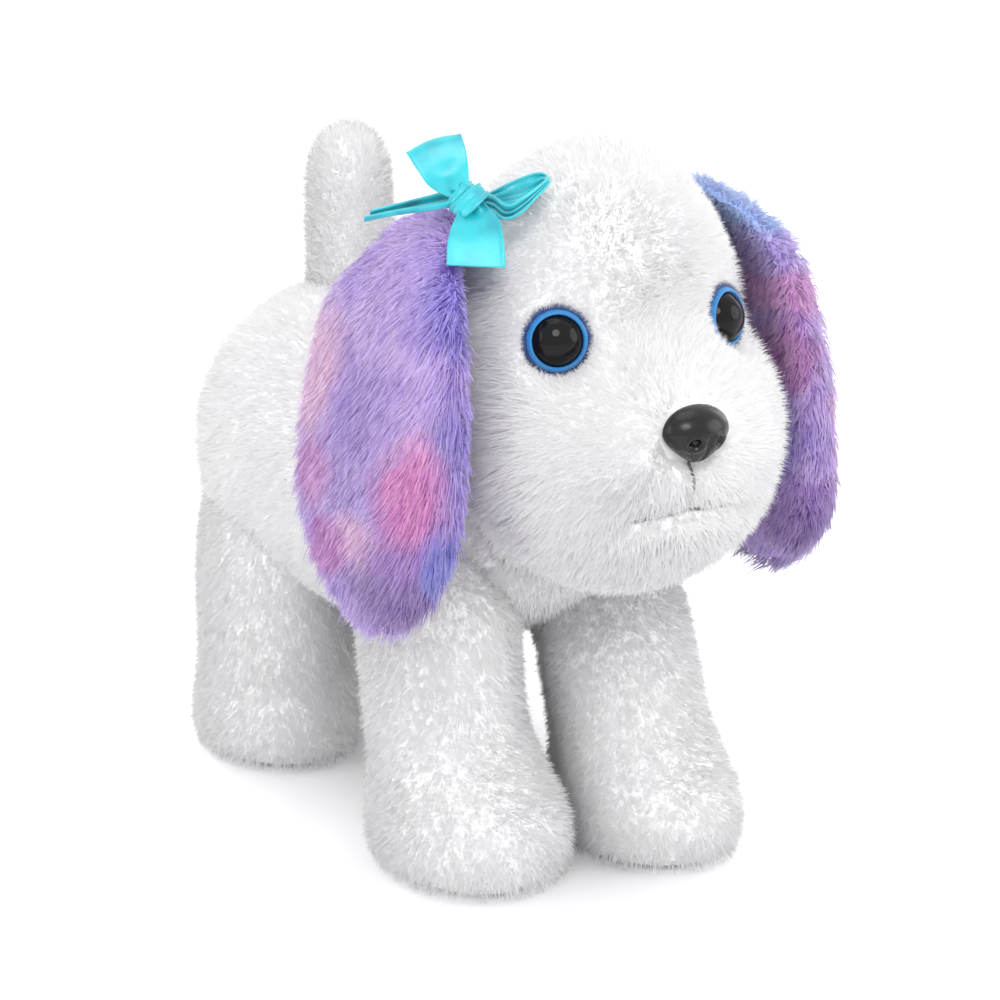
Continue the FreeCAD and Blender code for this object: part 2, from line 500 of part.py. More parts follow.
nz = V(*NOSE_AT)
# nose: a rounded triangle in front view, lofted forward
def nose_ring(y, w, ht, hb):
    p = [(0, ht), (0.55 * w, ht * 0.97), (0.92 * w, ht * 0.66), (w, 0.12 * ht), (0.78 * w, -0.45 * hb), (0.4 * w, -0.85 * hb),
         (0, -hb), (-0.4 * w, -0.85 * hb), (-0.78 * w, -0.45 * hb), (-w, 0.12 * ht), (-0.92 * w, ht * 0.66), (-0.55 * w, ht * 0.97)]
    return ring([V(a, y, nz.z + b) for a, b in p])


nose = loft([nose_ring(nz.y + 0.0, 8.5, 6.2, 8.0), nose_ring(nz.y - 1.5, 10.6, 7.8, 9.6), nose_ring(nz.y - 4.0, 11.2, 8.2, 10.0),
             nose_ring(nz.y - 6.5, 9.8, 6.9, 8.6), nose_ring(nz.y - 8.2, 6.2, 4.2, 5.4), nose_ring(nz.y - 8.8, 2.4, 1.6, 2.0)])
nshank = Part.makeCylinder(2.4, 16, nz + V(0, 15, 0), V(0, -1, 0))
save("nose", nose.fuse(nshank).removeSplitter())
washers.append(Part.makeCylinder(7.0, 1.5, nz + V(0, 6.0, 0), V(0, -1, 0)).cut(Part.makeCylinder(2.4, 8, nz + V(0, 10, 0), V(0, -1, 0))))
save("face_washers", Part.makeCompound(washers))
nose_room = Part.makeCylinder(12.4, 30, nz, V(0, -1, 0))
nshank_room = Part.makeCylinder(2.4, 30, nz + V(0, 15.2, 0), V(0, -1, 0))
# mouth: a thread sunk in the muzzle, one upright stitch and a shallow bow
MOUTH = []
for s in (-1, 1):
    MOUTH.append([(0, 136.0), (s * 5.0, 133.0), (s * 10.0, 131.8), (s * 15.5, 131.5)])


def head_front(x, z):
    line = Part.makeLine(V(x, -60, z), V(x, -150, z))
    c = line.common(head_out)
    return min(v.Point.y for v in c.Vertexes)


def thread(pts, r=0.8, sink=0.3):
    out = []
    p3 = [V(px, head_front(px, pz) + sink, pz) for px, pz in pts]
    for a, b in zip(p3[:-1], p3[1:]):
        d = b.sub(a)
        out.append(Part.makeCylinder(r, d.Length, a, d))
        out.append(Part.makeSphere(r, b))
    out.append(Part.makeSphere(r, p3[0]))
    return out


stitch = thread([(0, 147.5), (0, 142), (0, 136.0)]) + thread(MOUTH[0]) + thread(MOUTH[1])
stitch = fuse(stitch)
save("mouth_thread", stitch)
cavity = head_in
for nm in ("left", "right"):
    e, n, _ = eye_bits[nm]
    cavity = cavity.cut(Part.makeCylinder(13.5, 40, e - n * SKIN, n))
cavity = cavity.cut(Part.makeCylinder(15.0, 40, nz + V(0, SKIN, 0), V(0, -1, 0)))
cavity = cavity.cut(cyl_z(NECK_R + 1.5 + SKIN, 0, NECK_Y, 100, 150.3))
head = cut(head_out, [cavity] + neck_room + sockets + [nose_room] + shanks + [nshank_room])
head = head.cut(stitch)
head = max(head.Solids, key=lambda q: q.Volume)
save("head_plush", head)
room = [cyl_z(NECK_R + 1.5 + SKIN + 0.3, 0, NECK_Y, 100, 150.3), cyl_z(15.2, 0, NECK_Y, 149, 176)]
for nm in ("left", "right"):
    e, n, _ = eye_bits[nm]
    room += [Part.makeCylinder(13.9, 50, e - n * (SKIN + 0.3), n), Part.makeCylinder(7.4, 6, e - n * (SKIN + 2.4), n),
             Part.makeCylinder(2.5, 30, e - n * 15, n)]
room += [Part.makeCylinder(15.4, 50, nz + V(0, SKIN + 0.3, 0), V(0, -1, 0)),
         Part.makeCylinder(7.4, 14, nz + V(0, 6.4, 0), V(0, -1, 0)), Part.makeCylinder(2.7, 30, nz + V(0, 15.4, 0), V(0, -1, 0))]
hf = cut(head_fill, room)
hf = max(hf.Solids, key=lambda q: q.Volume)
save("head_stuffing", hf)

# ---------------------------------------------------------------- ears: fur panel outside, short-pile lining inside
EAR = [(226, 40.8, -56, 1.6, 5), (224, 42, -56, 3.2, 8), (218, 48.2, -57, 6.2, 13), (210, 54.5, -58, 8.8, 19), (198, 61.3, -60, 11.0, 27),
       (186, 64.4, -60, 12.2, 31.5), (175, 65.8, -60, 13.2, 34), (160, 68.0, -60, 15.0, 36.5), (145, 69.4, -60, 16.2, 37.3),
       (128, 71, -60.5, 15.6, 36.3), (113, 72.4, -62, 13.4, 32), (101, 73, -63, 9.8, 24.5), (92, 73, -63.5, 5.6, 15), (88.5, 73, -63.5, 2.4, 7)]
ear = loft([oval_xy(cx, cy, z, a, b) for z, cx, cy, a, b in EAR])
# parting surface between the two panels, a few millimetres in from the inner side
part_pts = []
for z, cx, cy, a, b in EAR:
    part_pts.append((cx - 0.55 * a, z))
poly = [V(p[0], -130, p[1]) for p in part_pts]
poly = [V(poly[0].x, -130, 240)] + poly + [V(poly[-1].x, -130, 70), V(0, -130, 70), V(0, -130, 240)]
w = Part.makePolygon(poly + [poly[0]])
half = Part.Face(w).extrude(V(0, 140, 0))
lining = ear.common(half)
fur = ear.cut(half)
save("ear_left_fur", fur)
save("ear_left_lining", lining)
save("ear_right_fur", mirror(fur))
save("ear_right_lining", mirror(lining))

# ---------------------------------------------------------------- ribbon bow at the top of the right ear
KNOT = V(-49.75, -76.25, 223.4)


def ribbon(pts, half_w, t, up):
    # pts: centre line; up: width directions, same count
    wires = []
    for i, (p, u) in enumerate(zip(pts, up)):
        p = V(*p)
        u = V(*u)
        u.normalize()
        q0 = V(*pts[max(0, i - 1)])
        q1 = V(*pts[min(len(pts) - 1, i + 1)])
        d = q1.sub(q0)
        nrm = d.cross(u)
        nrm.normalize()
        hw = half_w[i]
        c = [p + u * hw + nrm * t[i], p - u * hw + nrm * t[i], p - u * hw - nrm * t[i], p + u * hw - nrm * t[i]]
        wires.append(Part.makePolygon(c + [c[0]]))
    s = Part.makeLoft(wires, True, True)
    if s.Volume < 0:
        s.reverse()
    return s


def rel(dr, du, db=0.0):
    # offsets in the bow's own plane: dr to the bow's right, du up, db out of the plane
    r = V(0.857, -0.515, 0)
    b = V(-0.495, -0.824, 0.276)
    u = V(0.142, 0.2365, 0.961)
    p = KNOT + r * dr + u * du + b * db
    return (p.x, p.y, p.z)


R_, B_, U_ = (0.857, -0.515, 0), (-0.495, -0.824, 0.276), (0.142, 0.2365, 0.961)
# upper loop, leans up and to the left of the knot; right loop, smaller
up_loop = ribbon([rel(-2.5, 2.5), rel(-7, 9), rel(-11.5, 16), rel(-12.5, 19.5)], [4.0, 8.5, 9.5, 9.0], [2.6, 3.6, 3.6, 1.2],
                 [(0.9, -0.2, 0.35)] * 4)
r_loop = ribbon([rel(4.0, 0.5), rel(10, 3.0), rel(17, 5.5), rel(22.0, 7.5)], [3.4, 6.4, 6.0, 2.2], [2.6, 3.4, 3.2, 1.2],
                [(-0.25, 0.1, 0.95)] * 4)
save("bow_loops", Part.makeCompound([up_loop, r_loop]))
knot = loft([ring([V(*rel(5.2 * math.cos(t) * k, 5.6 * math.sin(t) * k, d)) for t in [2 * math.pi * i / 10 for i in range(10)]])
             for d, k in ((-3.4, 0.5), (-2.4, 0.86), (0.0, 1.0), (2.4, 0.86), (3.4, 0.5))])
knot = cut(knot, [up_loop, r_loop])
knot = max(knot.Solids, key=lambda q: q.Volume)
save("bow_knot", knot)
front_tail = ribbon([rel(2.2, -4.5, 3.2), rel(2.6, -9, 5.5), rel(3.0, -14, 7.5), rel(2.4, -20.5, 9.0)], [5.5, 8.2, 8.8, 8.8], [0.8, 0.6, 0.6, 0.6],
                    [R_] * 4)
front_tail = front_tail.cut(knot)
front_tail = max(front_tail.Solids, key=lambda q: q.Volume)
save("bow_tail_front", front_tail)
side_tail = ribbon([rel(-11.0, 0.4, -7.6), rel(-17, -1.2, -7.9), rel(-24, -2.6, -8.3), rel(-31.5, -4.4, -8.8)], [1.7, 1.7, 1.7, 1.7], [1.5, 1.5, 1.5, 1.3],
                   [U_] * 4)
side_tail = side_tail.cut(mirror(ear.copy()))
side_tail = max(side_tail.Solids, key=lambda q: q.Volume)
save("bow_tail_side", side_tail)

# ---------------------------------------------------------------- tail
arc = Part.Arc(V(0, TAIL_Y, TAIL_Z - TAIL_R), V(TAIL_R * math.sin(math.pi / 4), TAIL_Y, TAIL_Z - TAIL_R * math.cos(math.pi / 4)), V(TAIL_R, TAIL_Y, TAIL_Z)).toShape()
side = Part.makeLine(V(TAIL_R, TAIL_Y, TAIL_Z), V(TAIL_R, TAIL_Y, 192))
tip = Part.BSplineCurve()
tip.interpolate(Points=[V(TAIL_R, TAIL_Y, 192), V(13.7, TAIL_Y, 204), V(11.0, TAIL_Y, 214), V(6.6, TAIL_Y, 219.8), V(0, TAIL_Y, 221.6)])
back = Part.makeLine(V(0, TAIL_Y, 221.6), V(0, TAIL_Y, TAIL_Z - TAIL_R))
tail = Part.Face(Part.Wire([arc, side, tip.toShape(), back])).revolve(V(0, TAIL_Y, 0), Z, 360)
core = fuse([Part.makeCylinder(4.0, 12.4, V(0, TAIL_Y - 6.2, TAIL_Z), Y), box(-2.2, 2.2, TAIL_Y - 3, TAIL_Y + 3, TAIL_Z, 206)])
core = core.cut(Part.makeCylinder(1.56, 30, V(0, TAIL_Y - 15, TAIL_Z), Y))
tail_plush = tail.cut(box(-9.4, 9.4, TAIL_Y - 20, TAIL_Y - 6.5, 120, TAIL_Z + 6.2)).cut(box(-9.4, 9.4, TAIL_Y + 6.5, TAIL_Y + 20, 120, TAIL_Z + 6.2))
tail_plush = tail_plush.cut(box(-4.3, 4.3, TAIL_Y - 7, TAIL_Y + 7, TAIL_Z - 4.3, TAIL_Z + 4.4)).cut(box(-2.2, 2.2, TAIL_Y - 3, TAIL_Y + 3, TAIL_Z, 206))
tail_plush = max(tail_plush.Solids, key=lambda q: q.Volume)
save("tail_plush", tail_plush)
save("tail_core", core)
bracket = fuse([box(-4.0, 4.0, TAIL_Y - 9.6, TAIL_Y - 6.9, CH_Z1, TAIL_Z + 3.6), box(-4.0, 4.0, TAIL_Y + 6.9, TAIL_Y + 9.6, CH_Z1, TAIL_Z + 3.6),
                box(-8.0, 8.0, TAIL_Y - 12.0, TAIL_Y + 12.0, CH_Z1, CH_Z1 + 2.4)])
bracket = bracket.cut(Part.makeCylinder(1.5, 40, V(0, TAIL_Y - 20, TAIL_Z), Y))
save("tail_bracket", bracket)
save("tail_pivot_pin", Part.makeCylinder(1.5, 20.0, V(0, TAIL_Y - 10.0, TAIL_Z), Y))

# ---------------------------------------------------------------- belly flap over the battery door, held by hook-and-loop
flap = box(-26.0, 26.0, 8.0, 45.0, 58.8, 61.4)
flap = flap.makeFillet(4.0, [e for e in flap.Edges if abs(e.Length - 2.6) < 0.01 and e.BoundBox.YMax < 10])
save("battery_flap", flap)
print(len(made), "nodes")
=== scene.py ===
import bpy, bmesh, math, json
import numpy as np
from mathutils import Vector, Matrix
from mathutils.bvhtree import BVHTree
from mathutils.kdtree import KDTree


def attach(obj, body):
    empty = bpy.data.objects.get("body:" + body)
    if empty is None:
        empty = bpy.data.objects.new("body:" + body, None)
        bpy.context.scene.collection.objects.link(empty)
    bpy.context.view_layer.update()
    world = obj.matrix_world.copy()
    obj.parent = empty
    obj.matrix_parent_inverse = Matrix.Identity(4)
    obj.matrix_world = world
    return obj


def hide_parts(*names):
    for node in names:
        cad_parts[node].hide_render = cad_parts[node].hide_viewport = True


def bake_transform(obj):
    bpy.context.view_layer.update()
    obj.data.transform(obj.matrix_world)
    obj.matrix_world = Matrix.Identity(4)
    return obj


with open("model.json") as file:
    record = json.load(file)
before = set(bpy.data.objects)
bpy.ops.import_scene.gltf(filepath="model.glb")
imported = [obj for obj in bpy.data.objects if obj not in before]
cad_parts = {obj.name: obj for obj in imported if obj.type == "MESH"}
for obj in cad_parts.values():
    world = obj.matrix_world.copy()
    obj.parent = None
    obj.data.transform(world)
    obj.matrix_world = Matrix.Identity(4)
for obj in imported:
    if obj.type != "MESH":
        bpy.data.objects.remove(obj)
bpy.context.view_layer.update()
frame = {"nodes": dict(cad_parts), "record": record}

MM = 0.001
COL = bpy.context.scene.collection


def srgb(r, g, b):
    def f(c):
        c = c / 255.0
        return c / 12.92 if c <= 0.04045 else ((c + 0.055) / 1.055) ** 2.4
    return (f(r), f(g), f(b), 1.0)


# ------------------------------------------------------------------ node materials
def new_mat(name):
    m = bpy.data.materials.new(name)
    m.use_nodes = True
    nt = m.node_tree
    nt.nodes.clear()
    out = nt.nodes.new("ShaderNodeOutputMaterial")
    bs = nt.nodes.new("ShaderNodeBsdfPrincipled")
    nt.links.new(bs.outputs[0], out.inputs[0])
    return m, nt, bs


def coords(nt, scale=(1, 1, 1)):
    t = nt.nodes.new("ShaderNodeTexCoord")
    mp = nt.nodes.new("ShaderNodeMapping")
    mp.inputs["Scale"].default_value = scale
    nt.links.new(t.outputs["Object"], mp.inputs["Vector"])
    return mp.outputs[0]


def noise(nt, vec, scale, detail=3.0, rough=0.55):
    n = nt.nodes.new("ShaderNodeTexNoise")
    n.inputs["Scale"].default_value = scale
    n.inputs["Detail"].default_value = detail
    n.inputs["Roughness"].default_value = rough
    nt.links.new(vec, n.inputs["Vector"])
    return n.outputs["Fac"]


def ramp(nt, fac, stops):
    r = nt.nodes.new("ShaderNodeValToRGB")
    els = r.color_ramp.elements
    els[0].position, els[0].color = stops[0]
    els[1].position, els[1].color = stops[-1]
    for p, c in stops[1:-1]:
        e = els.new(p)
        e.color = c
    nt.links.new(fac, r.inputs[0])
    return r.outputs[0]


def bump(nt, bs, height, strength, dist):
    b = nt.nodes.new("ShaderNodeBump")
    b.inputs["Strength"].default_value = strength
    b.inputs["Distance"].default_value = dist
    nt.links.new(height, b.inputs["Height"])
    nt.links.new(b.outputs[0], bs.inputs["Normal"])


def scale_rgb(c, k):
    return (c[0] * k, c[1] * k, c[2] * k, 1.0)


def mix(nt, fac, a, b, mode="MIX"):
    m = nt.nodes.new("ShaderNodeMix")
    m.data_type = "RGBA"
    m.blend_type = mode
    if isinstance(fac, (int, float)):
        m.inputs[0].default_value = fac
    else:
        nt.links.new(fac, m.inputs[0])
    for sock, v in ((m.inputs[6], a), (m.inputs[7], b)):
        if isinstance(v, tuple):
            sock.default_value = v
        else:
            nt.links.new(v, sock)
    return m.outputs[2]


def mrange(nt, v, a, b, c=0.0, d=1.0, smooth=True):
    m = nt.nodes.new("ShaderNodeMapRange")
    m.interpolation_type = "SMOOTHSTEP" if smooth else "LINEAR"
    m.inputs["From Min"].default_value = a
    m.inputs["From Max"].default_value = b
    m.inputs["To Min"].default_value = c
    m.inputs["To Max"].default_value = d
    nt.links.new(v, m.inputs["Value"])
    return m.outputs[0]


def simple(name, color, rough=0.5, metal=0.0, coat=0.0, spec=0.5, n_scale=900.0, vary=0.12, bstr=0.15, bdist=0.0002, sheen=0.0):
    m, nt, bs = new_mat(name)
    v = coords(nt)
    f = noise(nt, v, n_scale, 4)
    c = ramp(nt, f, [(0.3, scale_rgb(color, 1 - vary)), (0.7, scale_rgb(color, 1 + vary * 0.5))])
    nt.links.new(c, bs.inputs["Base Color"])
    bs.inputs["Roughness"].default_value = rough
    r = mrange(nt, noise(nt, v, n_scale * 0.4, 2), 0.3, 0.7, max(0.02, rough - 0.06), min(1, rough + 0.06))
    nt.links.new(r, bs.inputs["Roughness"])
    bs.inputs["Metallic"].default_value = metal
    bs.inputs["Coat Weight"].default_value = coat
    bs.inputs["Coat Roughness"].default_value = 0.05
    bs.inputs["Specular IOR Level"].default_value = spec
    bs.inputs["Sheen Weight"].default_value = sheen
    if bstr:
        bump(nt, bs, f, bstr, bdist)
    return m


def plush_mat(name, light, dark, base_bump=True):
    m, nt, bs = new_mat(name)
    v = coords(nt)
    big = noise(nt, v, 22.0, 2)
    fine = noise(nt, v, 700.0, 3)
    c = ramp(nt, big, [(0.32, dark), (0.62, light)])
    c2 = mix(nt, 0.25, c, ramp(nt, fine, [(0.3, dark), (0.7, light)]))
    nt.links.new(c2, bs.inputs["Base Color"])
    bs.inputs["Roughness"].default_value = 0.9
    bs.inputs["Specular IOR Level"].default_value = 0.15
    bs.inputs["Sheen Weight"].default_value = 0.25
    bs.inputs["Sheen Roughness"].default_value = 0.5
    if base_bump:
        bump(nt, bs, fine, 0.5, 0.0006)
    return m


def let_light_through(m, share, color):
    """thin pile passes some light on: a share of translucent scatter beside the surface shader"""
    nt = m.node_tree
    out = [q for q in nt.nodes if q.type == "OUTPUT_MATERIAL"][0]
    bs = [q for q in nt.nodes if q.type == "BSDF_PRINCIPLED"][0]
    tr = nt.nodes.new("ShaderNodeBsdfTranslucent")
    tr.inputs["Color"].default_value = color
    ms = nt.nodes.new("ShaderNodeMixShader")
    ms.inputs[0].default_value = share
    nt.links.new(bs.outputs[0], ms.inputs[1])
    nt.links.new(tr.outputs[0], ms.inputs[2])
    nt.links.new(ms.outputs[0], out.inputs[0])
    link = bs.inputs["Base Color"].links
    if link:
        nt.links.new(link[0].from_socket, tr.inputs["Color"])


WHITE_HI = (0.93, 0.92, 0.93, 1)
WHITE_LO = (0.86, 0.845, 0.865, 1)
M_WHITE = plush_mat("plush_white", WHITE_HI, WHITE_LO)
M_WHITE_FUR = plush_mat("fur_white", (0.965, 0.96, 0.965, 1), (0.925, 0.912, 0.928, 1), base_bump=False)
let_light_through(M_WHITE_FUR, 0.10, (0.95, 0.95, 0.95, 1))


def tie_dye(name, base_lo, base_hi, patches, is_skin):
    m, nt, bs = new_mat(name)
    v = coords(nt)
    # wavering edges: the coordinates are shifted by a soft noise
    nz = nt.nodes.new("ShaderNodeTexNoise")
    nz.inputs["Scale"].default_value = 38.0
    nz.inputs["Detail"].default_value = 3.0
    nt.links.new(v, nz.inputs["Vector"])
    sub = nt.nodes.new("ShaderNodeVectorMath")
    sub.operation = "SUBTRACT"
    nt.links.new(nz.outputs["Color"], sub.inputs[0])
    sub.inputs[1].default_value = (0.5, 0.5, 0.5)
    sc = nt.nodes.new("ShaderNodeVectorMath")
    sc.operation = "SCALE"
    sc.inputs["Scale"].default_value = 0.020
    nt.links.new(sub.outputs[0], sc.inputs[0])
    ad = nt.nodes.new("ShaderNodeVectorMath")
    ad.operation = "ADD"
    nt.links.new(v, ad.inputs[0])
    nt.links.new(sc.outputs[0], ad.inputs[1])
    col = ramp(nt, noise(nt, ad.outputs[0], 30.0, 2), [(0.35, base_lo), (0.62, base_hi)])
    for centre, radii, colour, strength in patches:
        mp = nt.nodes.new("ShaderNodeMapping")
        mp.vector_type = "TEXTURE"
        cz = centre[2] if centre[2] > 150 else 150 - (150 - centre[2]) * 0.85
        mp.inputs["Location"].default_value = [centre[0] * MM, centre[1] * MM, cz * MM]
        mp.inputs["Scale"].default_value = [r * MM for r in radii]
        nt.links.new(ad.outputs[0], mp.inputs["Vector"])
        ln = nt.nodes.new("ShaderNodeVectorMath")
        ln.operation = "LENGTH"
        nt.links.new(mp.outputs[0], ln.inputs[0])
        f = mrange(nt, ln.outputs["Value"], 1.25, 0.45, 0.0, strength)
        col = mix(nt, f, col, colour)
    streak = noise(nt, coords(nt, (1.0, 0.8, 0.16)), 620.0, 2, 0.6)
    k = mrange(nt, streak, 0.3, 0.7, 0.0, 1.0)
    dark = mix(nt, 1.0, col, (0.84, 0.78, 0.90, 1), "MULTIPLY")
    lite = mix(nt, 0.18, col, (0.95, 0.90, 0.98, 1))
    col = mix(nt, k, dark, lite)
    if not is_skin:
        # along each hair the root end is painted darker and more purple as painted shade deep in the pile, and the tip
        # end is painted lighter as painted light, since the hairs cast no shadow on each other
        at = nt.nodes.new("ShaderNodeAttribute")
        at.attribute_name = "tip"
        k2 = mrange(nt, at.outputs["Fac"], 0.0, 0.8, 0.0, 1.0)
        root = mix(nt, 1.0, col, (0.82, 0.72, 0.92, 1), "MULTIPLY")
        tip_painted_light = mix(nt, 0.16, col, (0.97, 0.93, 1.0, 1))
        col = mix(nt, k2, root, tip_painted_light)
    nt.links.new(col, bs.inputs["Base Color"])
    bs.inputs["Roughness"].default_value = 0.6
    bs.inputs["Specular IOR Level"].default_value = 0.3
    bs.inputs["Sheen Weight"].default_value = 0.2
    if not is_skin:
        let_light_through(m, 0.12, (0.8, 0.7, 0.9, 1))
    return m


LAV_HI, LAV_LO = srgb(208, 174, 243), srgb(160, 120, 226)
PINK, MAG, PURP = srgb(244, 176, 222), srgb(232, 96, 176), srgb(128, 58, 182)
BLUE, SKY, VIO = srgb(98, 104, 222), srgb(150, 196, 246), srgb(112, 84, 200)
# right ear (at -X): places are centre and radii in mm
PATCH_R = [((-80, -34, 168), (20, 16, 26), srgb(245, 190, 225), 0.85), ((-62, -92, 196), (16, 22, 20), srgb(112, 92, 215), 0.9),
           ((-66, -99, 160), (16, 8, 45), srgb(126, 104, 212), 0.85), ((-83, -88, 150), (14, 18, 12), PINK, 0.7),
           ((-82, -88, 137), (15, 18, 20), srgb(226, 96, 192), 0.95), ((-83, -36, 134), (14, 14, 12), srgb(215, 120, 205), 0.8),
           ((-86, -66, 117), (14, 16, 10), srgb(240, 184, 226), 0.9), ((-83, -48, 110), (16, 16, 10), srgb(200, 88, 200), 0.9),
           ((-82, -84, 114), (14, 16, 9), srgb(150, 75, 198), 0.9), ((-78, -80, 100), (22, 24, 11), srgb(112, 44, 172), 1.0),
           ((-70, -96, 113), (10, 10, 16), srgb(86, 96, 216), 0.95), ((-85, -66, 163), (10, 8, 20), srgb(150, 120, 218), 0.5),
           ((-86, -54, 142), (10, 9, 18), srgb(145, 115, 212), 0.5)]
PATCH_L = [((52, -60, 214), (30, 60, 14), SKY, 0.95), ((60, -80, 199), (24, 40, 8), srgb(185, 165, 236), 0.8),
           ((66, -84, 186), (20, 30, 9), srgb(226, 150, 212), 0.9), ((58, -88, 168), (9, 16, 12), srgb(190, 90, 182), 0.85),
           ((76, -84, 170), (12, 24, 10), srgb(202, 170, 228), 0.8), ((80, -86, 152), (16, 24, 12), srgb(226, 140, 204), 0.9),
           ((82, -86, 139), (14, 24, 10), srgb(240, 124, 200), 0.95), ((84, -84, 122), (14, 24, 10), srgb(206, 120, 202), 0.85),
           ((68, -88, 114), (16, 20, 10), srgb(150, 80, 202), 0.9), ((66, -84, 102), (22, 28, 11), srgb(126, 60, 182), 1.0),
           ((56, -80, 130), (7, 30, 30), srgb(112, 82, 202), 0.85), ((88, -50, 160), (12, 20, 24), PINK, 0.7), ((88, -44, 120), (12, 20, 14), SKY, 0.7)]
M_EAR_R = tie_dye("ear_fur_right", LAV_LO, LAV_HI, PATCH_R, False)
M_EAR_L = tie_dye("ear_fur_left", LAV_LO, LAV_HI, PATCH_L, False)
M_EARS_R = tie_dye("ear_skin_right", LAV_LO, LAV_HI, PATCH_R, True)
M_EARS_L = tie_dye("ear_skin_left", LAV_LO, LAV_HI, PATCH_L, True)


def satin():
    m, nt, bs = new_mat("satin_turquoise")
    v = coords(nt)
    big = noise(nt, v, 90.0, 2)
    c = ramp(nt, big, [(0.3, srgb(0, 150, 166)), (0.5, srgb(14, 184, 196)), (0.72, srgb(40, 200, 208))])
    w = nt.nodes.new("ShaderNodeTexWave")
    w.inputs["Scale"].default_value = 900.0
    w.inputs["Distortion"].default_value = 1.5
    nt.links.new(coords(nt, (1, 1, 0.6)), w.inputs["Vector"])
    c2 = mix(nt, mrange(nt, w.outputs["Fac"], 0, 1, 0.0, 0.22), c, srgb(0, 146, 164))
    nt.links.new(c2, bs.inputs["Base Color"])
    bs.inputs["Roughness"].default_value = 0.3
    bs.inputs["Specular IOR Level"].default_value = 0.7
    bs.inputs["Sheen Weight"].default_value = 0.3
    bs.inputs["Anisotropic"].default_value = 0.5
    bump(nt, bs, w.outputs["Fac"], 0.25, 0.00008)
    return m


M_SATIN = satin()
M_EYE = simple("eye_black", (0.004, 0.004, 0.005, 1), rough=0.08, coat=0.0, spec=0.22, vary=0.05, bstr=0.0)
M_IRIS = simple("eye_rim_blue", srgb(8, 124, 192), rough=0.45, n_scale=1500, vary=0.25, bstr=0.4, sheen=0.3)
M_FELT = simple("felt_blue", srgb(14, 70, 138), rough=0.9, n_scale=2500, vary=0.3, bstr=0.6, bdist=0.0004, sheen=0.5)
M_NOSE = simple("nose_black", (0.006, 0.006, 0.007, 1), rough=0.24, coat=0.0, spec=0.38, n_scale=2600, vary=0.2, bstr=0.12, bdist=0.00008)
M_THREAD = simple("thread_grey", srgb(112, 106, 112), rough=0.85, n_scale=3000, vary=0.35, bstr=0.6)

SLOT_MATS = {
    "white_plush": M_WHITE, "polyester_fill": simple("fill_white", (0.9, 0.9, 0.9, 1), 0.95, n_scale=300, bstr=0.9, bdist=0.002),
    "tie_dye_fur": M_EARS_R, "ear_lining": M_EARS_R, "turquoise_satin": M_SATIN, "black_eye": M_EYE, "blue_felt": M_FELT,
    "black_nose": M_NOSE, "grey_thread": M_THREAD,
    "natural_plastic": simple("plastic_natural", (0.8, 0.8, 0.76, 1), 0.45, n_scale=1200),
    "bright_steel": simple("steel_bright", (0.62, 0.62, 0.64, 1), 0.22, metal=1.0, n_scale=2200, vary=0.2),
    "zinc_steel": simple("steel_zinc", (0.55, 0.57, 0.6, 1), 0.38, metal=1.0, n_scale=1500, vary=0.25),
    "battery_jacket": simple("battery_jacket", (0.03, 0.03, 0.04, 1), 0.3, coat=0.5, n_scale=900),
    "gear_nylon": simple("nylon_gear", (0.78, 0.76, 0.68, 1), 0.4, n_scale=1400),
    "motor_can": simple("motor_can", (0.55, 0.55, 0.56, 1), 0.3, metal=1.0, n_scale=1800, vary=0.2),
    "circuit_green": simple("board_green", (0.02, 0.18, 0.07, 1), 0.35, n_scale=1100, vary=0.4),
    "black_plastic": simple("plastic_black", (0.02, 0.02, 0.02, 1), 0.42, n_scale=1600),
    "white_plastic": simple("plastic_white", (0.8, 0.8, 0.8, 1), 0.4, n_scale=1200, vary=0.06),
}
for sp in frame["record"]["subparts"]:
    o = frame["nodes"].get(sp["node"])
    if o is None:
        continue
    mt = SLOT_MATS.get(sp["material_slot"])
    if mt is not None:
        if len(o.material_slots) == 0:
            o.data.materials.append(mt)
        for s in o.material_slots:
            s.material = mt


# ------------------------------------------------------------------ mesh helpers, in mm
def add_obj(name, verts, faces, mat=None, smooth=True):
    me = bpy.data.meshes.new(name)
    me.from_pydata([tuple(np.asarray(v, float) * MM) for v in verts], [], [tuple(int(i) for i in f) for f in faces])
    me.update()
    if smooth:
        me.polygons.foreach_set("use_smooth", [True] * len(me.polygons))
    o = bpy.data.objects.new(name, me)
    COL.objects.link(o)
    if mat:
        me.materials.append(mat)
    return o


def spline(keys, n):
    """keys (m, d) sampled smoothly at n rows (Catmull-Rom, evenly by key index)."""
    k = np.asarray(keys, float)
    t = np.arange(len(k), dtype=float)
    x = np.linspace(0, len(k) - 1, n)
    i = np.clip(x.astype(int), 0, len(k) - 2)
    f = (x - i)[:, None]
    p0, p1 = k[np.clip(i - 1, 0, len(k) - 1)], k[i]
    p2, p3 = k[i + 1], k[np.clip(i + 2, 0, len(k) - 1)]
    return 0.5 * ((2 * p1) + (-p0 + p2) * f + (2 * p0 - 5 * p1 + 4 * p2 - p3) * f ** 2 + (-p0 + 3 * p1 - 3 * p2 + p3) * f ** 3)


def tube(rings):
    """closed mesh from rings (n, k, 3), with a fan at each end"""
    n, k, _ = rings.shape
    v = rings.reshape(-1, 3).tolist()
    f = []
    for i in range(n - 1):
        for j in range(k):
            a, b = i * k + j, i * k + (j + 1) % k
            f.append((a, b, b + k, a + k))
    v.append(rings[0].mean(0).tolist())
    c0 = len(v) - 1
    v.append(rings[-1].mean(0).tolist())
    c1 = len(v) - 1
    for j in range(k):
        f.append((c0, (j + 1) % k, j))
        f.append((c1, (n - 1) * k + j, (n - 1) * k + (j + 1) % k))
    return v, f


def pw(x, n):
    return np.sign(x) * np.abs(x) ** (2.0 / n)


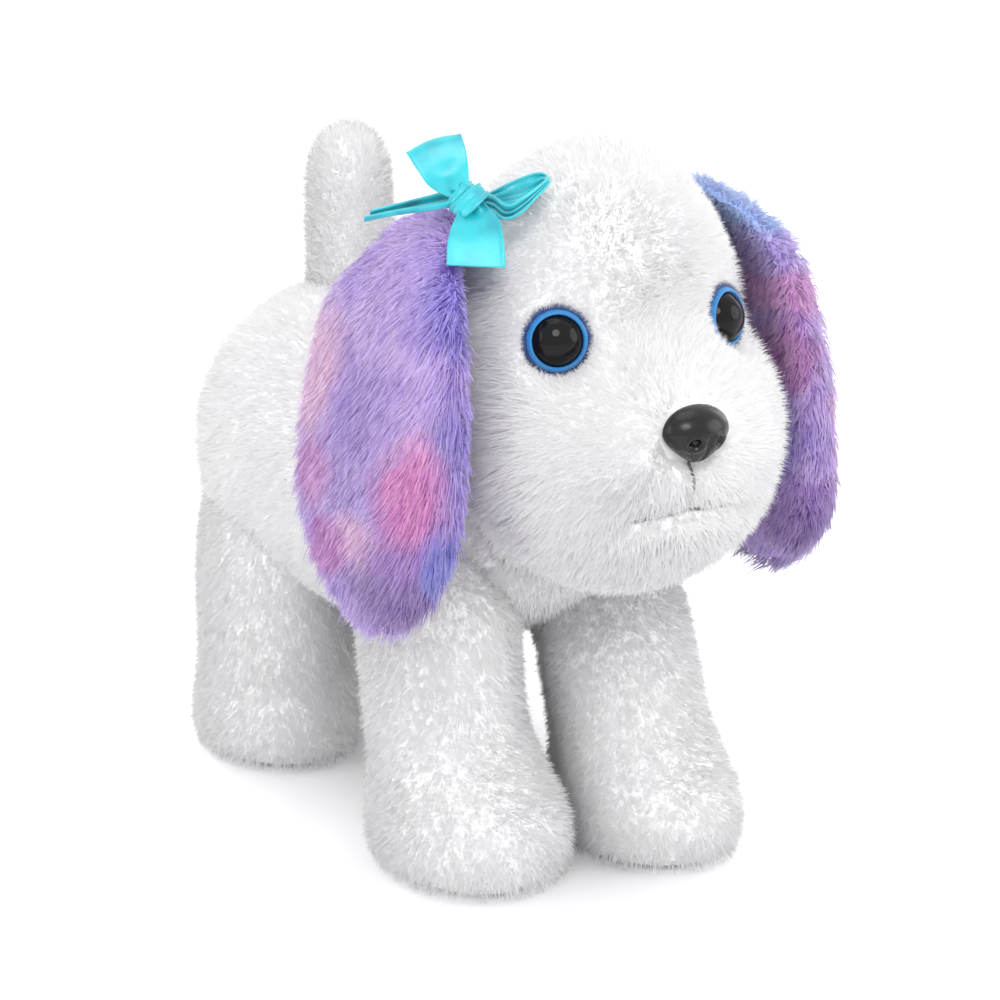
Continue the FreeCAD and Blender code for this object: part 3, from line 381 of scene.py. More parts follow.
def loft_z(sec, n=60, k=48, t=0.0):
    """sec rows: z, cx, cy, a, b"""
    s = spline(sec, n)
    th = np.linspace(0, 2 * np.pi, k, endpoint=False)
    r = np.empty((n, k, 3))
    a = np.maximum(s[:, 3:4] - t, 1.0)
    b = np.maximum(s[:, 4:5] - t, 1.0)
    r[:, :, 0] = s[:, 1:2] + a * np.cos(th)
    r[:, :, 1] = s[:, 2:3] + b * np.sin(th)
    r[:, :, 2] = s[:, 0:1]
    return tube(r)


def loft_y(sec, n=60, k=48, t=0.0, nl=2.5):
    """sec rows: y, a, zb, zt"""
    s = spline(sec, n)
    th = np.linspace(0, 2 * np.pi, k, endpoint=False)
    c, sn = np.cos(th), np.sin(th)
    low = sn < 0
    a = np.maximum(s[:, 1:2] - t, 1.0)
    zc = 0.5 * (s[:, 2:3] + s[:, 3:4])
    h = np.maximum(0.5 * (s[:, 3:4] - s[:, 2:3]) - t, 1.0)
    r = np.empty((n, k, 3))
    r[:, :, 0] = a * np.where(low, pw(c, nl), c)
    r[:, :, 1] = s[:, 0:1]
    r[:, :, 2] = zc + h * np.where(low, pw(sn, nl), sn)
    return tube(r)


def ellipsoid(c, s, rot=(0, 0, 0), n=24, k=40):
    th = np.linspace(0, 2 * np.pi, k, endpoint=False)
    ph = np.linspace(0.06, np.pi - 0.06, n)
    r = np.empty((n, k, 3))
    r[:, :, 0] = np.sin(ph)[:, None] * np.cos(th)
    r[:, :, 1] = np.sin(ph)[:, None] * np.sin(th)
    r[:, :, 2] = -np.cos(ph)[:, None]
    r *= np.asarray(s, float)
    R = np.array((Matrix.Rotation(math.radians(rot[2]), 3, "Z") @ Matrix.Rotation(math.radians(rot[1]), 3, "Y") @ Matrix.Rotation(math.radians(rot[0]), 3, "X")))
    r = r @ R.T + np.asarray(c, float)
    return tube(r)


def get_v(o):
    a = np.empty(len(o.data.vertices) * 3)
    o.data.vertices.foreach_get("co", a)
    return a.reshape(-1, 3) / MM


def set_v(o, v):
    o.data.vertices.foreach_set("co", (v * MM).ravel())
    o.data.update()


def get_n(o):
    a = np.empty(len(o.data.vertices) * 3)
    o.data.vertices.foreach_get("normal", a)
    return a.reshape(-1, 3)


def apply_mods(o):
    bpy.context.view_layer.update()
    dg = bpy.context.evaluated_depsgraph_get()
    me = bpy.data.meshes.new_from_object(o.evaluated_get(dg))
    mats = [m for m in o.data.materials]
    o.modifiers.clear()
    o.data = me
    if not len(me.materials):
        for m in mats:
            me.materials.append(m)
    me.polygons.foreach_set("use_smooth", [True] * len(me.polygons))
    me.update()
    return o


def union_skin(name, parts, voxel, smooth, mat):
    v, f = [], []
    for pv, pf in parts:
        b = len(v)
        v += pv
        f += [tuple(i + b for i in q) for q in pf]
    o = add_obj(name, v, f, mat)
    m = o.modifiers.new("join", "REMESH")
    m.mode = "VOXEL"
    m.voxel_size = voxel * MM
    m.use_smooth_shade = True
    s = o.modifiers.new("soften", "SMOOTH")
    s.factor = 0.5
    s.iterations = smooth
    return apply_mods(o)


def bvh(o):
    me = o.data
    return BVHTree.FromPolygons([tuple(v.co) for v in me.vertices], [tuple(p.vertices) for p in me.polygons])


def inside(points, tree):
    out = np.zeros(len(points), bool)
    for i, p in enumerate(points * MM):
        q, n, _, d = tree.find_nearest(Vector(p))
        if q is not None and (Vector(p) - q).dot(n) < 0:
            out[i] = True
    return out


def unit(a):
    return a / np.maximum(np.linalg.norm(a, axis=1, keepdims=True), 1e-9)


def sstep(x, a, b):
    t = np.clip((x - a) / (b - a), 0, 1)
    return t * t * (3 - 2 * t)


# ------------------------------------------------------------------ fur: closed tapered hairs that grow from a skin
def fur(name, skin, n, length, comb, mat, seed, mask=None, avoid=(), seg=1, base=0.3, jitter=0.22, clump=0, pull=0.5,
        soft=0.75, vary=(0.7, 1.15), floor=None, weight=None, uvs=None):
    rng = np.random.default_rng(seed)
    me = skin.data
    me.calc_loop_triangles()
    V = get_v(skin)
    NN = get_n(skin)
    T = np.empty(len(me.loop_triangles) * 3, np.int32)
    me.loop_triangles.foreach_get("vertices", T)
    T = T.reshape(-1, 3)
    A = 0.5 * np.linalg.norm(np.cross(V[T[:, 1]] - V[T[:, 0]], V[T[:, 2]] - V[T[:, 0]]), axis=1)
    cen = V[T].mean(1)
    if weight is not None:
        A = A * weight(cen, unit(NN[T].mean(1)))
    pick = rng.choice(len(T), n, p=A / A.sum())
    u = rng.random((n, 2))
    flip = u.sum(1) > 1
    u[flip] = 1 - u[flip]
    w = np.stack([1 - u.sum(1), u[:, 0], u[:, 1]], 1)
    P = (V[T[pick]] * w[:, :, None]).sum(1)
    N = unit((NN[T[pick]] * w[:, :, None]).sum(1))
    keep = np.ones(n, bool)
    if mask is not None:
        keep &= mask(P, N)
    P, N = P[keep], N[keep]
    for tree in avoid:
        k = ~inside(P + N * 0.8, tree)
        P, N = P[k], N[k]
    n = len(P)
    L = (length(P, N) if callable(length) else np.full(n, float(length))) * rng.uniform(vary[0], vary[1], n)
    C = comb(P, N)
    C = C - (C * N).sum(1, keepdims=True) * N
    J = rng.normal(size=(n, 3)) * jitter
    D = unit(N + C + J)
    tip = P + D * L[:, None]
    mid = P + unit(N * 1.3 + C * 0.55 + J * 0.8) * (L * 0.5)[:, None]
    if clump:
        m = max(8, n // clump)
        ci = rng.choice(n, m, replace=False)
        kd = KDTree(m)
        for j, i in enumerate(ci):
            kd.insert(P[i], j)
        kd.balance()
        near = np.array([kd.find(p)[1] for p in P])
        c = ci[near]
        same = (N * N[c]).sum(1) > 0.5
        q = rng.uniform(0.55, 1.0, n) * pull * same
        tgt = tip[c] + (P - P[c]) * 0.25
        tip = tip * (1 - q[:, None]) + tgt * q[:, None]
        mid = mid * (1 - 0.45 * q[:, None]) + (0.5 * (P + tgt) + N * (L * 0.08)[:, None]) * 0.45 * q[:, None]
    if floor is not None:
        tip[:, 2] = np.maximum(tip[:, 2], floor)
        mid[:, 2] = np.maximum(mid[:, 2], floor)
    D = unit(tip - P)
    t1 = unit(np.cross(D, rng.normal(size=(n, 3))))
    t2 = np.cross(D, t1)
    R = base * rng.uniform(0.75, 1.2, n)
    root = P - N * 0.5
    vs, tipv = [], []
    for a in (0.0, 2.0944, 4.1888):
        vs.append(root + (t1 * math.cos(a) + t2 * math.sin(a)) * R[:, None])
        tipv.append(np.zeros(n))
    if seg == 2:
        for a in (0.0, 2.0944, 4.1888):
            vs.append(mid + (t1 * math.cos(a) + t2 * math.sin(a)) * (R * 0.72)[:, None])
            tipv.append(np.full(n, 0.5))
    vs.append(tip)
    tipv.append(np.ones(n))
    k = len(vs)
    verts = np.stack(vs, 1).reshape(-1, 3)
    tips = np.stack(tipv, 1).ravel()
    if floor is not None:
        verts[:, 2] = np.maximum(verts[:, 2], floor)
    b = (np.arange(n) * k)[:, None]
    if seg == 1:
        tri = np.array([[0, 1, 3], [1, 2, 3], [2, 0, 3], [2, 1, 0]])
        quad = np.zeros((0, 4), int)
    else:
        tri = np.array([[3, 4, 6], [4, 5, 6], [5, 3, 6], [2, 1, 0]])
        quad = np.array([[0, 1, 4, 3], [1, 2, 5, 4], [2, 0, 3, 5]])
    ft = (b[:, :, None] + tri[None]).reshape(-1, 3)
    fq = (b[:, :, None] + quad[None]).reshape(-1, 4)
    loops = np.concatenate([ft.ravel(), fq.ravel()]).astype(np.int32)
    starts = np.concatenate([np.arange(len(ft)) * 3, len(ft) * 3 + np.arange(len(fq)) * 4]).astype(np.int32)
    m2 = bpy.data.meshes.new(name)
    m2.vertices.add(len(verts))
    m2.vertices.foreach_set("co", (verts * MM).ravel())
    m2.loops.add(len(loops))
    m2.loops.foreach_set("vertex_index", loops)
    m2.polygons.add(len(starts))
    m2.polygons.foreach_set("loop_start", starts)
    m2.update(calc_edges=True)
    m2.polygons.foreach_set("use_smooth", [True] * len(starts))
    at = m2.attributes.new("tip", "FLOAT", "POINT")
    at.data.foreach_set("value", tips.astype(np.float32))
    # one place on the bake's map for each hair, laid out by where its root is
    uv = m2.uv_layers.new(name="OFBake")
    lo, hi = P.min(0), P.max(0)
    ax = uvs or (1, 2)
    U = np.stack([(P[:, ax[0]] - lo[ax[0]]) / max(1e-6, hi[ax[0]] - lo[ax[0]]), (P[:, ax[1]] - lo[ax[1]]) / max(1e-6, hi[ax[1]] - lo[ax[1]])], 1)
    U = 0.02 + 0.95 * U
    off = np.zeros((k, 2))
    off[0], off[1], off[2] = (0.0, 0.0), (0.004, 0.0), (0.002, 0.002)
    off[-1] = (0.002, 0.008)
    if seg == 2:
        off[3], off[4], off[5] = (0.0005, 0.004), (0.0035, 0.004), (0.002, 0.005)
    vu = (U[:, None, :] + off[None]).reshape(-1, 2)
    uv.data.foreach_set("uv", vu[loops].ravel().astype(np.float32))
    o = bpy.data.objects.new(name, m2)
    COL.objects.link(o)
    m2.materials.append(mat)
    if soft:
        nn = unit(np.repeat(N, k, 0) * soft + np.repeat(D, k, 0) * (1 - soft) * 0.6)
        m2.normals_split_custom_set_from_vertices(nn.tolist())
    o.visible_shadow = False     # the skin under the pile throws the shadow; hair on hair would grey it
    return o


# ------------------------------------------------------------------ camera, light, floor
def look(az, el, dist, target, lens):
    a, e = math.radians(az), math.radians(el)
    back = Vector((math.sin(a) * math.cos(e), -math.cos(a) * math.cos(e), math.sin(e)))
    cam = bpy.data.cameras.new("camera")
    cam.lens = lens
    cam.sensor_width = 36.0
    cam.clip_start = 0.01
    co = bpy.data.objects.new("camera", cam)
    co.location = (Vector(target) + back * dist) * MM
    co.rotation_euler = back.to_track_quat("Z", "Y").to_euler()
    COL.objects.link(co)
    bpy.context.scene.camera = co


look(-32.3, 16, 900, (1.2, -12, 110.6), 98.9)
scene = bpy.context.scene
scene.view_settings.view_transform = "Standard"
scene.view_settings.exposure = 0.0


def area(name, loc, target, size, power, color=(1, 1, 1)):
    l = bpy.data.lights.new(name, "AREA")
    l.shape = "DISK"
    l.size = size
    l.energy = power
    l.color = color
    o = bpy.data.objects.new(name, l)
    o.location = loc
    d = Vector(target) - Vector(loc)
    o.rotation_euler = d.to_track_quat("-Z", "Y").to_euler()
    COL.objects.link(o)


w = bpy.data.worlds.new("studio")
w.use_nodes = True
bg = w.node_tree.nodes["Background"]
bg.inputs[0].default_value = (1.0, 1.0, 1.0, 1)
bg.inputs[1].default_value = 1.12
scene.world = w
w.cycles.sampling_method = "MANUAL"
w.cycles.sample_map_resolution = 64
area("key", (-0.50, -0.95, 1.0), (0, 0, 0.1), 0.6, 5.6)
area("fill", (0.95, -0.80, 0.5), (0, 0, 0.1), 0.9, 3.6)
area("top", (0.0, 0.1, 1.5), (0, 0, 0.1), 1.0, 2.6)
area("side", (-1.3, 0.3, 0.5), (0, 0, 0.1), 0.9, 3.0)
area("rim", (0.2, 1.3, 0.8), (0, 0, 0.12), 0.9, 3.6)
area("side_left", (1.3, 0.4, 0.6), (0, 0, 0.12), 0.9, 2.6)

fl = add_obj("floor", [(-6000, -6000, 0), (6000, -6000, 0), (6000, 6000, 0), (-6000, 6000, 0)], [(0, 1, 2, 3)], None, False)
M_FLOOR = simple("floor_pale", (0.93, 0.93, 0.94, 1), 0.85, n_scale=40, vary=0.01, bstr=0.0, spec=0.1)
fl.data.materials.append(M_FLOOR)

# ------------------------------------------------------------------ the puppy's outline, mm: sections as in the CAD model
TORSO = [(-56.5, 10, 96, 116), (-50, 22.7, 86.6, 125.4), (-40, 33, 77.8, 134.2), (-25, 42.5, 69.8, 142.2), (-5, 49.9, 63.5, 148.5),
         (20, 53.5, 61.2, 152), (45, 54, 60.6, 158.5), (65, 55.2, 60, 168), (80, 56, 60, 171), (95, 52.9, 62, 168), (108, 45, 70, 160),
         (118, 33, 80, 149), (124, 20, 92, 136), (127, 8, 103, 125)]
HEAD = [(104, 0, -86, 10, 8), (108, 0, -87, 24, 18), (116, 0, -88, 37, 27), (126, 0, -87.5, 45.5, 34.5), (138, 0, -85.5, 50.5, 39.5),
        (148, 0, -83.5, 52.5, 41.5), (158, 0, -80.5, 52.5, 42.5), (168, 0, -75.5, 51.5, 42.5), (176, 0, -71, 50.5, 41), (186, 0, -67, 50, 38.5),
        (198, 0, -65, 48.5, 37.5), (210, 0, -65, 44, 34), (220, 0, -65, 37, 28.5), (228, 0, -65, 28, 21.5), (233.5, 0, -65, 16, 12.5), (236, 0, -65, 6, 5)]
EAR = [(226, 40.8, -56, 1.6, 5), (224, 42, -56, 3.2, 8), (218, 48.2, -57, 6.2, 13), (210, 54.5, -58, 8.8, 19), (198, 61.3, -60, 11, 27),
       (186, 64.4, -60, 12.2, 31.5), (175, 65.8, -60, 13.2, 34), (160, 68, -60, 15, 36.5), (145, 69.4, -60, 16.2, 37.3), (128, 71, -60.5, 15.6, 36.3),
       (113, 72.4, -62, 13.4, 32), (101, 73, -63, 9.8, 24.5), (92, 73, -63.5, 5.6, 15), (88.5, 73, -63.5, 2.4, 7)]
LEG = {
    "leg_front_right": (-1, [(0, -37.5, 24, 30), (4, -38, 27.2, 34.3), (12, -38, 28.6, 36), (22, -37.5, 28.2, 35), (32, -34.5, 26.9, 31), (45, -29.5, 26.2, 28),
                             (60, -26, 26.4, 27.5), (72, -24.5, 26.2, 28), (84, -24, 25.5, 29)], -24),
    "leg_front_left": (1, [(0, -51, 24, 29), (4, -51.5, 27.2, 33), (12, -51.5, 28.6, 35), (22, -51, 28.2, 34), (32, -47.5, 26.9, 30.5), (45, -43, 26.2, 28),
                           (60, -39, 26.4, 27.5), (72, -34, 26.2, 28.3), (84, -28, 25.5, 29)], -24),
    "leg_hind_right": (-1, [(0, 88, 24, 30), (4, 88, 27.4, 34), (12, 88, 28.6, 36), (22, 87.5, 28.2, 35.5), (32, 87, 27.4, 33.8), (45, 86, 27.4, 34.5),
                            (60, 86, 27.6, 35.5), (72, 86, 27.2, 35), (84, 86, 26, 33)], 86),
    "leg_hind_left": (1, [(0, 94, 24, 29), (4, 94, 27.4, 32.5), (12, 94, 28.6, 34), (22, 93.5, 28.2, 33.8), (32, 92, 27.4, 33), (45, 90.5, 27.4, 34),
                          (60, 89, 27.6, 35), (72, 87.5, 27.2, 35), (84, 86, 26, 33)], 86),
}
EYE_C = {"left": np.array([30.0, -92.0, 183.0]), "right": np.array([-30.0, -92.0, 183.0])}
AZ, EL = math.radians(22), math.radians(8)
EYE_N = {s: np.array([(1 if s == "left" else -1) * math.sin(AZ) * math.cos(EL), -math.cos(AZ) * math.cos(EL), math.sin(EL)]) for s in EYE_C}
NOSE = np.array([0.0, -119.0, 158.0])
T = 3.0      # the skin lies this far inside the outline; the pile fills the rest


def cut_box(o, lo, hi):
    v = [(x, y, z) for x in (lo[0], hi[0]) for y in (lo[1], hi[1]) for z in (lo[2], hi[2])]
    f = [(0, 1, 3, 2), (4, 6, 7, 5), (0, 4, 5, 1), (2, 3, 7, 6), (0, 2, 6, 4), (1, 5, 7, 3)]
    c = add_obj("tool", v, f, None, False)
    m = o.modifiers.new("cut", "BOOLEAN")
    m.operation, m.solver, m.object = "DIFFERENCE", "EXACT", c
    apply_mods(o)
    bpy.data.objects.remove(c)
    return o


# ---- torso
torso = union_skin("torso_cover", [loft_y(TORSO, 70, 56, T)], 2.5, 4, M_WHITE)
cut_box(torso, (-25.5, 10.5, 40), (25.5, 42.5, 71.5))
v = get_v(torso)
flat = (np.abs(v[:, 0]) < 40) & (v[:, 1] > 6) & (v[:, 1] < 47) & (v[:, 2] < 64.5) & (v[:, 2] < 66)
v[flat, 2] = np.maximum(v[flat, 2], 63.2)
rear = sstep(v[:, 1], 52, 105)
v[:, 0] *= 1 + 0.05 * rear
v[:, 1] += 2.5 * rear
set_v(torso, v)
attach(torso, "torso")
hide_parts("torso_plush", "torso_stuffing")

# ---- neck, between the torso and the head
neck = union_skin("neck_cover", [loft_z([(98, 0, -44, 16, 10), (108, 0, -50, 24, 15), (120, 0, -55, 30, 19), (132, 0, -60, 33, 22), (142, 0, -62, 32, 23), (150, 0, -63, 24, 18), (155, 0, -63, 12, 9)], 40, 40, 0)], 2.5, 3, M_WHITE)
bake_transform(neck)

# ---- legs
legs = {}
for name, (s, rows, yh) in LEG.items():
    sec = []
    for z, cy, a, b in rows:
        x = s * (30.0 if z > 50 else (30.5 if z > 20 else 31.0))
        sec.append((max(z, 1.2), x, cy, a, b))
    front = yh < 0
    sec += [(94, s * 29, yh + 1, 23.5 if front else 24.5, 27 if front else 31), (104, s * 26, yh + 2, 18, 22 if front else 26),
            (113, s * 21, yh + 3, 11, 14 if front else 17), (117, s * 19, yh + 3, 5, 7)]
    lg = union_skin(name + "_cover", [loft_z(sec, 64, 48, T - 0.4)], 2.4, 4, M_WHITE)
    v = get_v(lg)
    v[:, 2] = np.maximum(v[:, 2], 1.0)
    if front:       # the toes bulge forward, and the right paw turns in a little
        v[:, 1] -= 5.0 * (1 - sstep(v[:, 2], 14, 52)) * sstep(yh - v[:, 1], -6, 22)
        v[:, 0] -= s * (4.0 if s < 0 else 1.0) * (1 - sstep(v[:, 2], 10, 48)) * sstep(31 - s * v[:, 0], 0, 18)
    set_v(lg, v)
    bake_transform(lg)
    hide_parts(name + "_plush")
    legs[name] = lg

# ---- tail
tail = union_skin("tail_cover", [loft_z([(146, 0, 84, 11, 11), (152, 0, 84, 12.5, 12.5), (160, 0, 84, 12.6, 12.4), (175, 0, 84, 12.8, 12.6), (192, 0, 84, 12.6, 12.4),
                                         (205, 0, 84, 12.2, 12.0), (213, 0, 84, 10.4, 10.2), (218, 0, 84, 7, 7), (220.2, 0, 84, 3, 3)], 50, 40, 0)], 2.0, 3, M_WHITE)
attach(tail, "tail")
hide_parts("tail_plush")

# ---- head
parts = [loft_z(HEAD, 80, 64, T + 1.0),
         ellipsoid((-15, -104, 148), (20, 16.5, 14.5), (0, 0, 10)), ellipsoid((15, -104, 148), (20, 16.5, 14.5), (0, 0, -10)),
         ellipsoid((0, -101, 128), (22, 14, 9)),
         ellipsoid((-33, -82, 146), (17, 20, 22)), ellipsoid((33, -82, 146), (17, 20, 22))]
head = union_skin("head_cover", parts, 2.4, 5, M_WHITE)
v = get_v(head)
n = get_n(head)
for s in EYE_C:     # shallow sockets that the eye buttons sit in
    c, nn = EYE_C[s], EYE_N[s]
    d = v - c
    h = d @ nn
    r = np.linalg.norm(d - h[:, None] * nn, axis=1)
    near = (r < 17) & (h > -14) & (h < 16)
    want = -0.6
    k = 1 - sstep(r, 8.5, 15.5)
    mv = np.where(near & (h > want), (want - h) * k, 0) + np.where(near & (h < want) & (r < 11), (want - h) * (1 - sstep(r, 7, 11)), 0)
    v += mv[:, None] * nn
# room for the nose, the groove below it, and the mouth
d = v - NOSE
r = np.sqrt((d[:, 0] / 12.5) ** 2 + ((d[:, 2] + 1) / 10.5) ** 2)
near = (v[:, 1] < -100) & (r < 1.3)
v[:, 1] += np.where(near, np.maximum(0, (-117.6 - v[:, 1])) * (1 - sstep(r, 0.75, 1.3)), 0)
MOUTH_Z = lambda x: 133.4 - 1.6 * np.minimum(np.abs(x), 16) / 16 + 0.0 * x
front = v[:, 1] < -88
gx = np.exp(-(v[:, 0] / 2.8) ** 2) * sstep(v[:, 2], 131, 135) * (1 - sstep(v[:, 2], 149, 152))
gz = np.exp(-((v[:, 2] - MOUTH_Z(v[:, 0])) / 3.0) ** 2) * (1 - sstep(np.abs(v[:, 0]), 16, 26))
v -= n * (np.where(front, 2.6 * gx + 3.6 * gz, 0))[:, None]
# the sewn seam down the forehead
gs = np.exp(-(v[:, 0] / 1.8) ** 2) * sstep(v[:, 2], 186, 196) * (v[:, 1] < -64)
v -= n * (0.9 * gs)[:, None]
set_v(head, v)
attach(head, "head")
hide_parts("head_plush", "head_stuffing")

# ---- ears
ears = {}
for side, s in (("left", 1), ("right", -1)):
    rows = []
    for z, cx, cy, a, b in EAR:
        if z > 219:
            continue
        if not rows:
            rows += [(217.5, s * 46.5, cy, 1.2, 4.0), (216.5, s * 47.0, cy, 2.0, 8.0)]
            z = 214.0
        aa = max(1.2, a * 0.42)
        inward = (a - aa) * 0.22
        zz = z if z > 150 else 150 - (150 - z) * (0.83 if s < 0 else 0.88)
        rows.append((zz, s * (cx - inward), cy + (1.5 if z < 190 else 0), aa, max(3.0, b - min(4.2, b * 0.2))))
    e = union_skin("ear_%s_panel" % side, [loft_z(rows, 70, 56, 0)], 1.6, 3, M_EARS_L if side == "left" else M_EARS_R)
    v = get_v(e)
    # the panel curls a little round the cheek: its front and back edges turn in
    q = (v[:, 1] + 60) / 36.0
    low = sstep(v[:, 2], 215, 190)
    v[:, 0] += s * low * np.where(q > 0, 4.5 * sstep(q, 0.0, 1.0), -2.6 * q * q)
    v[:, 1] -= 2.5 * low * sstep(-q, 0.1, 1.0)
    set_v(e, v)
    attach(e, "ear_" + side)
    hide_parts("ear_%s_fur" % side, "ear_%s_lining" % side)
    ears[side] = e

TREES = {k: bvh(o) for k, o in [("torso", torso), ("neck", neck), ("head", head), ("tail", tail)] + list(legs.items())}


def toward(x, y, z, k):
    d = np.array([x, y, z], float)
    return lambda P, N: np.tile(d * k, (len(P), 1))


def eye_clear(P, rr=9.6):
    k = np.ones(len(P), bool)
    for s in EYE_C:
        d = P - EYE_C[s]
        h = d @ EYE_N[s]
        r = np.linalg.norm(d - h[:, None] * EYE_N[s], axis=1)
        k &= ~((r < rr) & (h > -12) & (h < 14))
    return k


def belly_clear(P, N):
    return ~((np.abs(P[:, 0]) < 28.5) & (P[:, 1] > 5.5) & (P[:, 1] < 47.5) & (P[:, 2] < 80))


def sole_clear(P, N):
    return ~((N[:, 2] < -0.6) & (P[:, 2] < 4))


def head_mask(P, N):
    d = P - NOSE
    nose = (np.sqrt((d[:, 0] / 10.0) ** 2 + ((d[:, 2] + 1) / 8.6) ** 2) < 1) & (P[:, 1] < -100)
    neckside = (P[:, 2] < 150) & (np.hypot(P[:, 0] / 26, (P[:, 1] + 60) / 18) < 0.85)
    fr = P[:, 1] < -92
    groove = fr & (np.abs(P[:, 0]) < 0.9) & (P[:, 2] > 131) & (P[:, 2] < 150)
    lips = fr & (np.abs(P[:, 2] - MOUTH_Z(P[:, 0]) - 0.3) < 1.25) & (np.abs(P[:, 0]) < 19)
    return eye_clear(P) & ~nose & ~neckside & ~groove & ~lips


def head_len(P, N):
    L = np.full(len(P), 6.2)
    L += 2.4 * sstep(np.abs(P[:, 0]), 30, 48) * (1 - sstep(P[:, 2], 185, 205))      # cheeks
    L -= 2.4 * sstep(P[:, 2], 190, 212)                                          # crown is shorter
    for s in EYE_C:
        r = np.linalg.norm(P - EYE_C[s], axis=1)
        L *= 1 - 0.62 * (1 - sstep(r, 10, 22))
    r = np.linalg.norm(P - NOSE, axis=1)
    L *= 1 - 0.35 * (1 - sstep(r, 11, 20))
    m = (np.abs(P[:, 0]) < 20) & (P[:, 1] < -95)
    L *= np.where(m, 1 - 0.35 * np.exp(-((P[:, 2] - 133) / 4.0) ** 2), 1)
    return L


def head_comb(P, N):
    """pile runs out from the nose over the muzzle, and back over the crown and cheeks"""
    d = P - NOSE
    out = unit(d * np.array([1, 0.35, 1]))
    back = np.tile(np.array([0, 0.9, -0.45]), (len(P), 1))
    k = sstep(np.linalg.norm(d, axis=1), 22, 52)[:, None]
    return (out * (1 - k) + back * k) * 1.15


WF = M_WHITE_FUR
fu = []
for i in range(2):
    o = fur("torso_fur_%d" % i, torso, 48000, 5.2, toward(0, 0.75, -0.65, 1.0), WF, 11 + i, belly_clear,
            [TREES[k] for k in ("neck",) + tuple(legs)], base=0.25, clump=10, pull=0.35, jitter=0.3, uvs=(1, 2))
    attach(o, "torso")
    fu.append(o)
for i in range(2):
    o = fur("head_fur_%d" % i, head, 49000, head_len, head_comb, WF, 21 + i, head_mask, [], base=0.24, clump=10, pull=0.4, jitter=0.3, uvs=(0, 2))
    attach(o, "head")
    fu.append(o)
o = fur("neck_fur", neck, 12000, 5.0, toward(0, 0.3, -0.8, 1.0), WF, 31, None, [TREES["torso"], TREES["head"]], base=0.34, clump=9, pull=0.4)
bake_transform(o)
o = fur("tail_fur", tail, 20000, 5.0, toward(0, 0, 0.6, 1.0), WF, 41, None, [TREES["torso"]], base=0.25, clump=10, pull=0.35, jitter=0.3)
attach(o, "tail")
for i, (name, (s, rows, yh)) in enumerate(LEG.items()):
    other = [TREES["torso"]]
    o = fur(name + "_fur", legs[name], 40000, 5.0, toward(0, -0.1, -0.8, 1.0), WF, 51 + i, sole_clear, other, base=0.25, clump=10, pull=0.35, jitter=0.3, floor=0.15)
    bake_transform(o)

for side, s in (("left", 1), ("right", -1)):
    def comb(P, N, s=s):
        outer = sstep(N[:, 0] * s, -0.3, 0.4)[:, None]
        frontal = sstep(-P[:, 1], 78, 96)[:, None]
        d_out = np.array([0, 0.62, -1.0])
        d_fr = np.array([0, 0.05, -1.0])
        d = d_out * (1 - frontal) + d_fr * frontal
        top = sstep(P[:, 2], 196, 222)[:, None]
        d = d * (1 - 0.35 * top)
        return d * (2.0 * outer + 1.3 * (1 - outer))

    def elen(P, N, s=s):
        outer = sstep(N[:, 0] * s, -0.5, 0.2)
        L = 5.5 + 7.8 * outer
        L *= 1 - 0.55 * sstep(P[:, 2], 185, 214)
        return L

    for i in range(3):
        o = fur("ear_%s_fur_%d" % (side, i), ears[side], 17000, elen, comb, M_EAR_L if side == "left" else M_EAR_R, (71 if s > 0 else 81) + i,
                None, [], seg=2, base=0.27, clump=12, pull=0.7, soft=0.5, vary=(0.65, 1.15), jitter=0.3, uvs=(1, 2))
        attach(o, "ear_" + side)


# ------------------------------------------------------------------ belly flap over the battery door
def slab(x0, x1, y0, y1, z0, z1, r, n=8, k=10):
    """rounded pad: rows from edge to edge, crowned a little"""
    pts = []
    for cx, cy, a0 in ((x1 - r, y1 - r, 0), (x0 + r, y1 - r, 90), (x0 + r, y0 + r, 180), (x1 - r, y0 + r, 270)):
        for j in range(k):
            a = math.radians(a0 + 90.0 * j / (k - 1))
            pts.append((cx + r * math.cos(a), cy + r * math.sin(a)))
    pts = np.array(pts)
    mid = np.array([(x0 + x1) / 2, (y0 + y1) / 2])
    zc, h = (z0 + z1) / 2, (z1 - z0) / 2
    rings = []
    for t in np.linspace(-math.pi / 2, math.pi / 2, n):
        inset = (1 - math.cos(t)) * 1.2
        sc = 1 - inset / 26.0
        p = mid + (pts - mid) * sc
        rings.append(np.column_stack([p, np.full(len(p), zc + h * math.sin(t))]))
    return tube(np.array(rings))


flap = add_obj("belly_flap_cover", *slab(-26, 26, 8.2, 45, 59.6, 61.4, 4.0), M_WHITE)
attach(flap, "belly_flap")
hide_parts("battery_flap")
m = flap.modifiers.new("fine", "SUBSURF")
m.levels = m.render_levels = 1
apply_mods(flap)
o = fur("belly_flap_fur", flap, 9000, 4.0, toward(0, 0.4, -0.4, 1.0), WF, 61, lambda P, N: (N[:, 2] < 0.2) & (P[:, 1] < 44.2), [], base=0.34, clump=9, pull=0.4, uvs=(0, 1))
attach(o, "belly_flap")


# ------------------------------------------------------------------ eyes
def revolve(prof, c, nrm, k=64):
    """closed solid of revolution; prof rows (r, h), from the bottom centre to the top centre"""
    nv = Vector(nrm)
    q = nv.to_track_quat("Z", "Y")
    R = np.array(q.to_matrix())
    th = np.linspace(0, 2 * np.pi, k, endpoint=False)
    rings = np.array([[(r * math.cos(a), r * math.sin(a), h) for a in th] for r, h in prof])
    rings = rings @ R.T + np.asarray(c, float)
    return tube(rings)


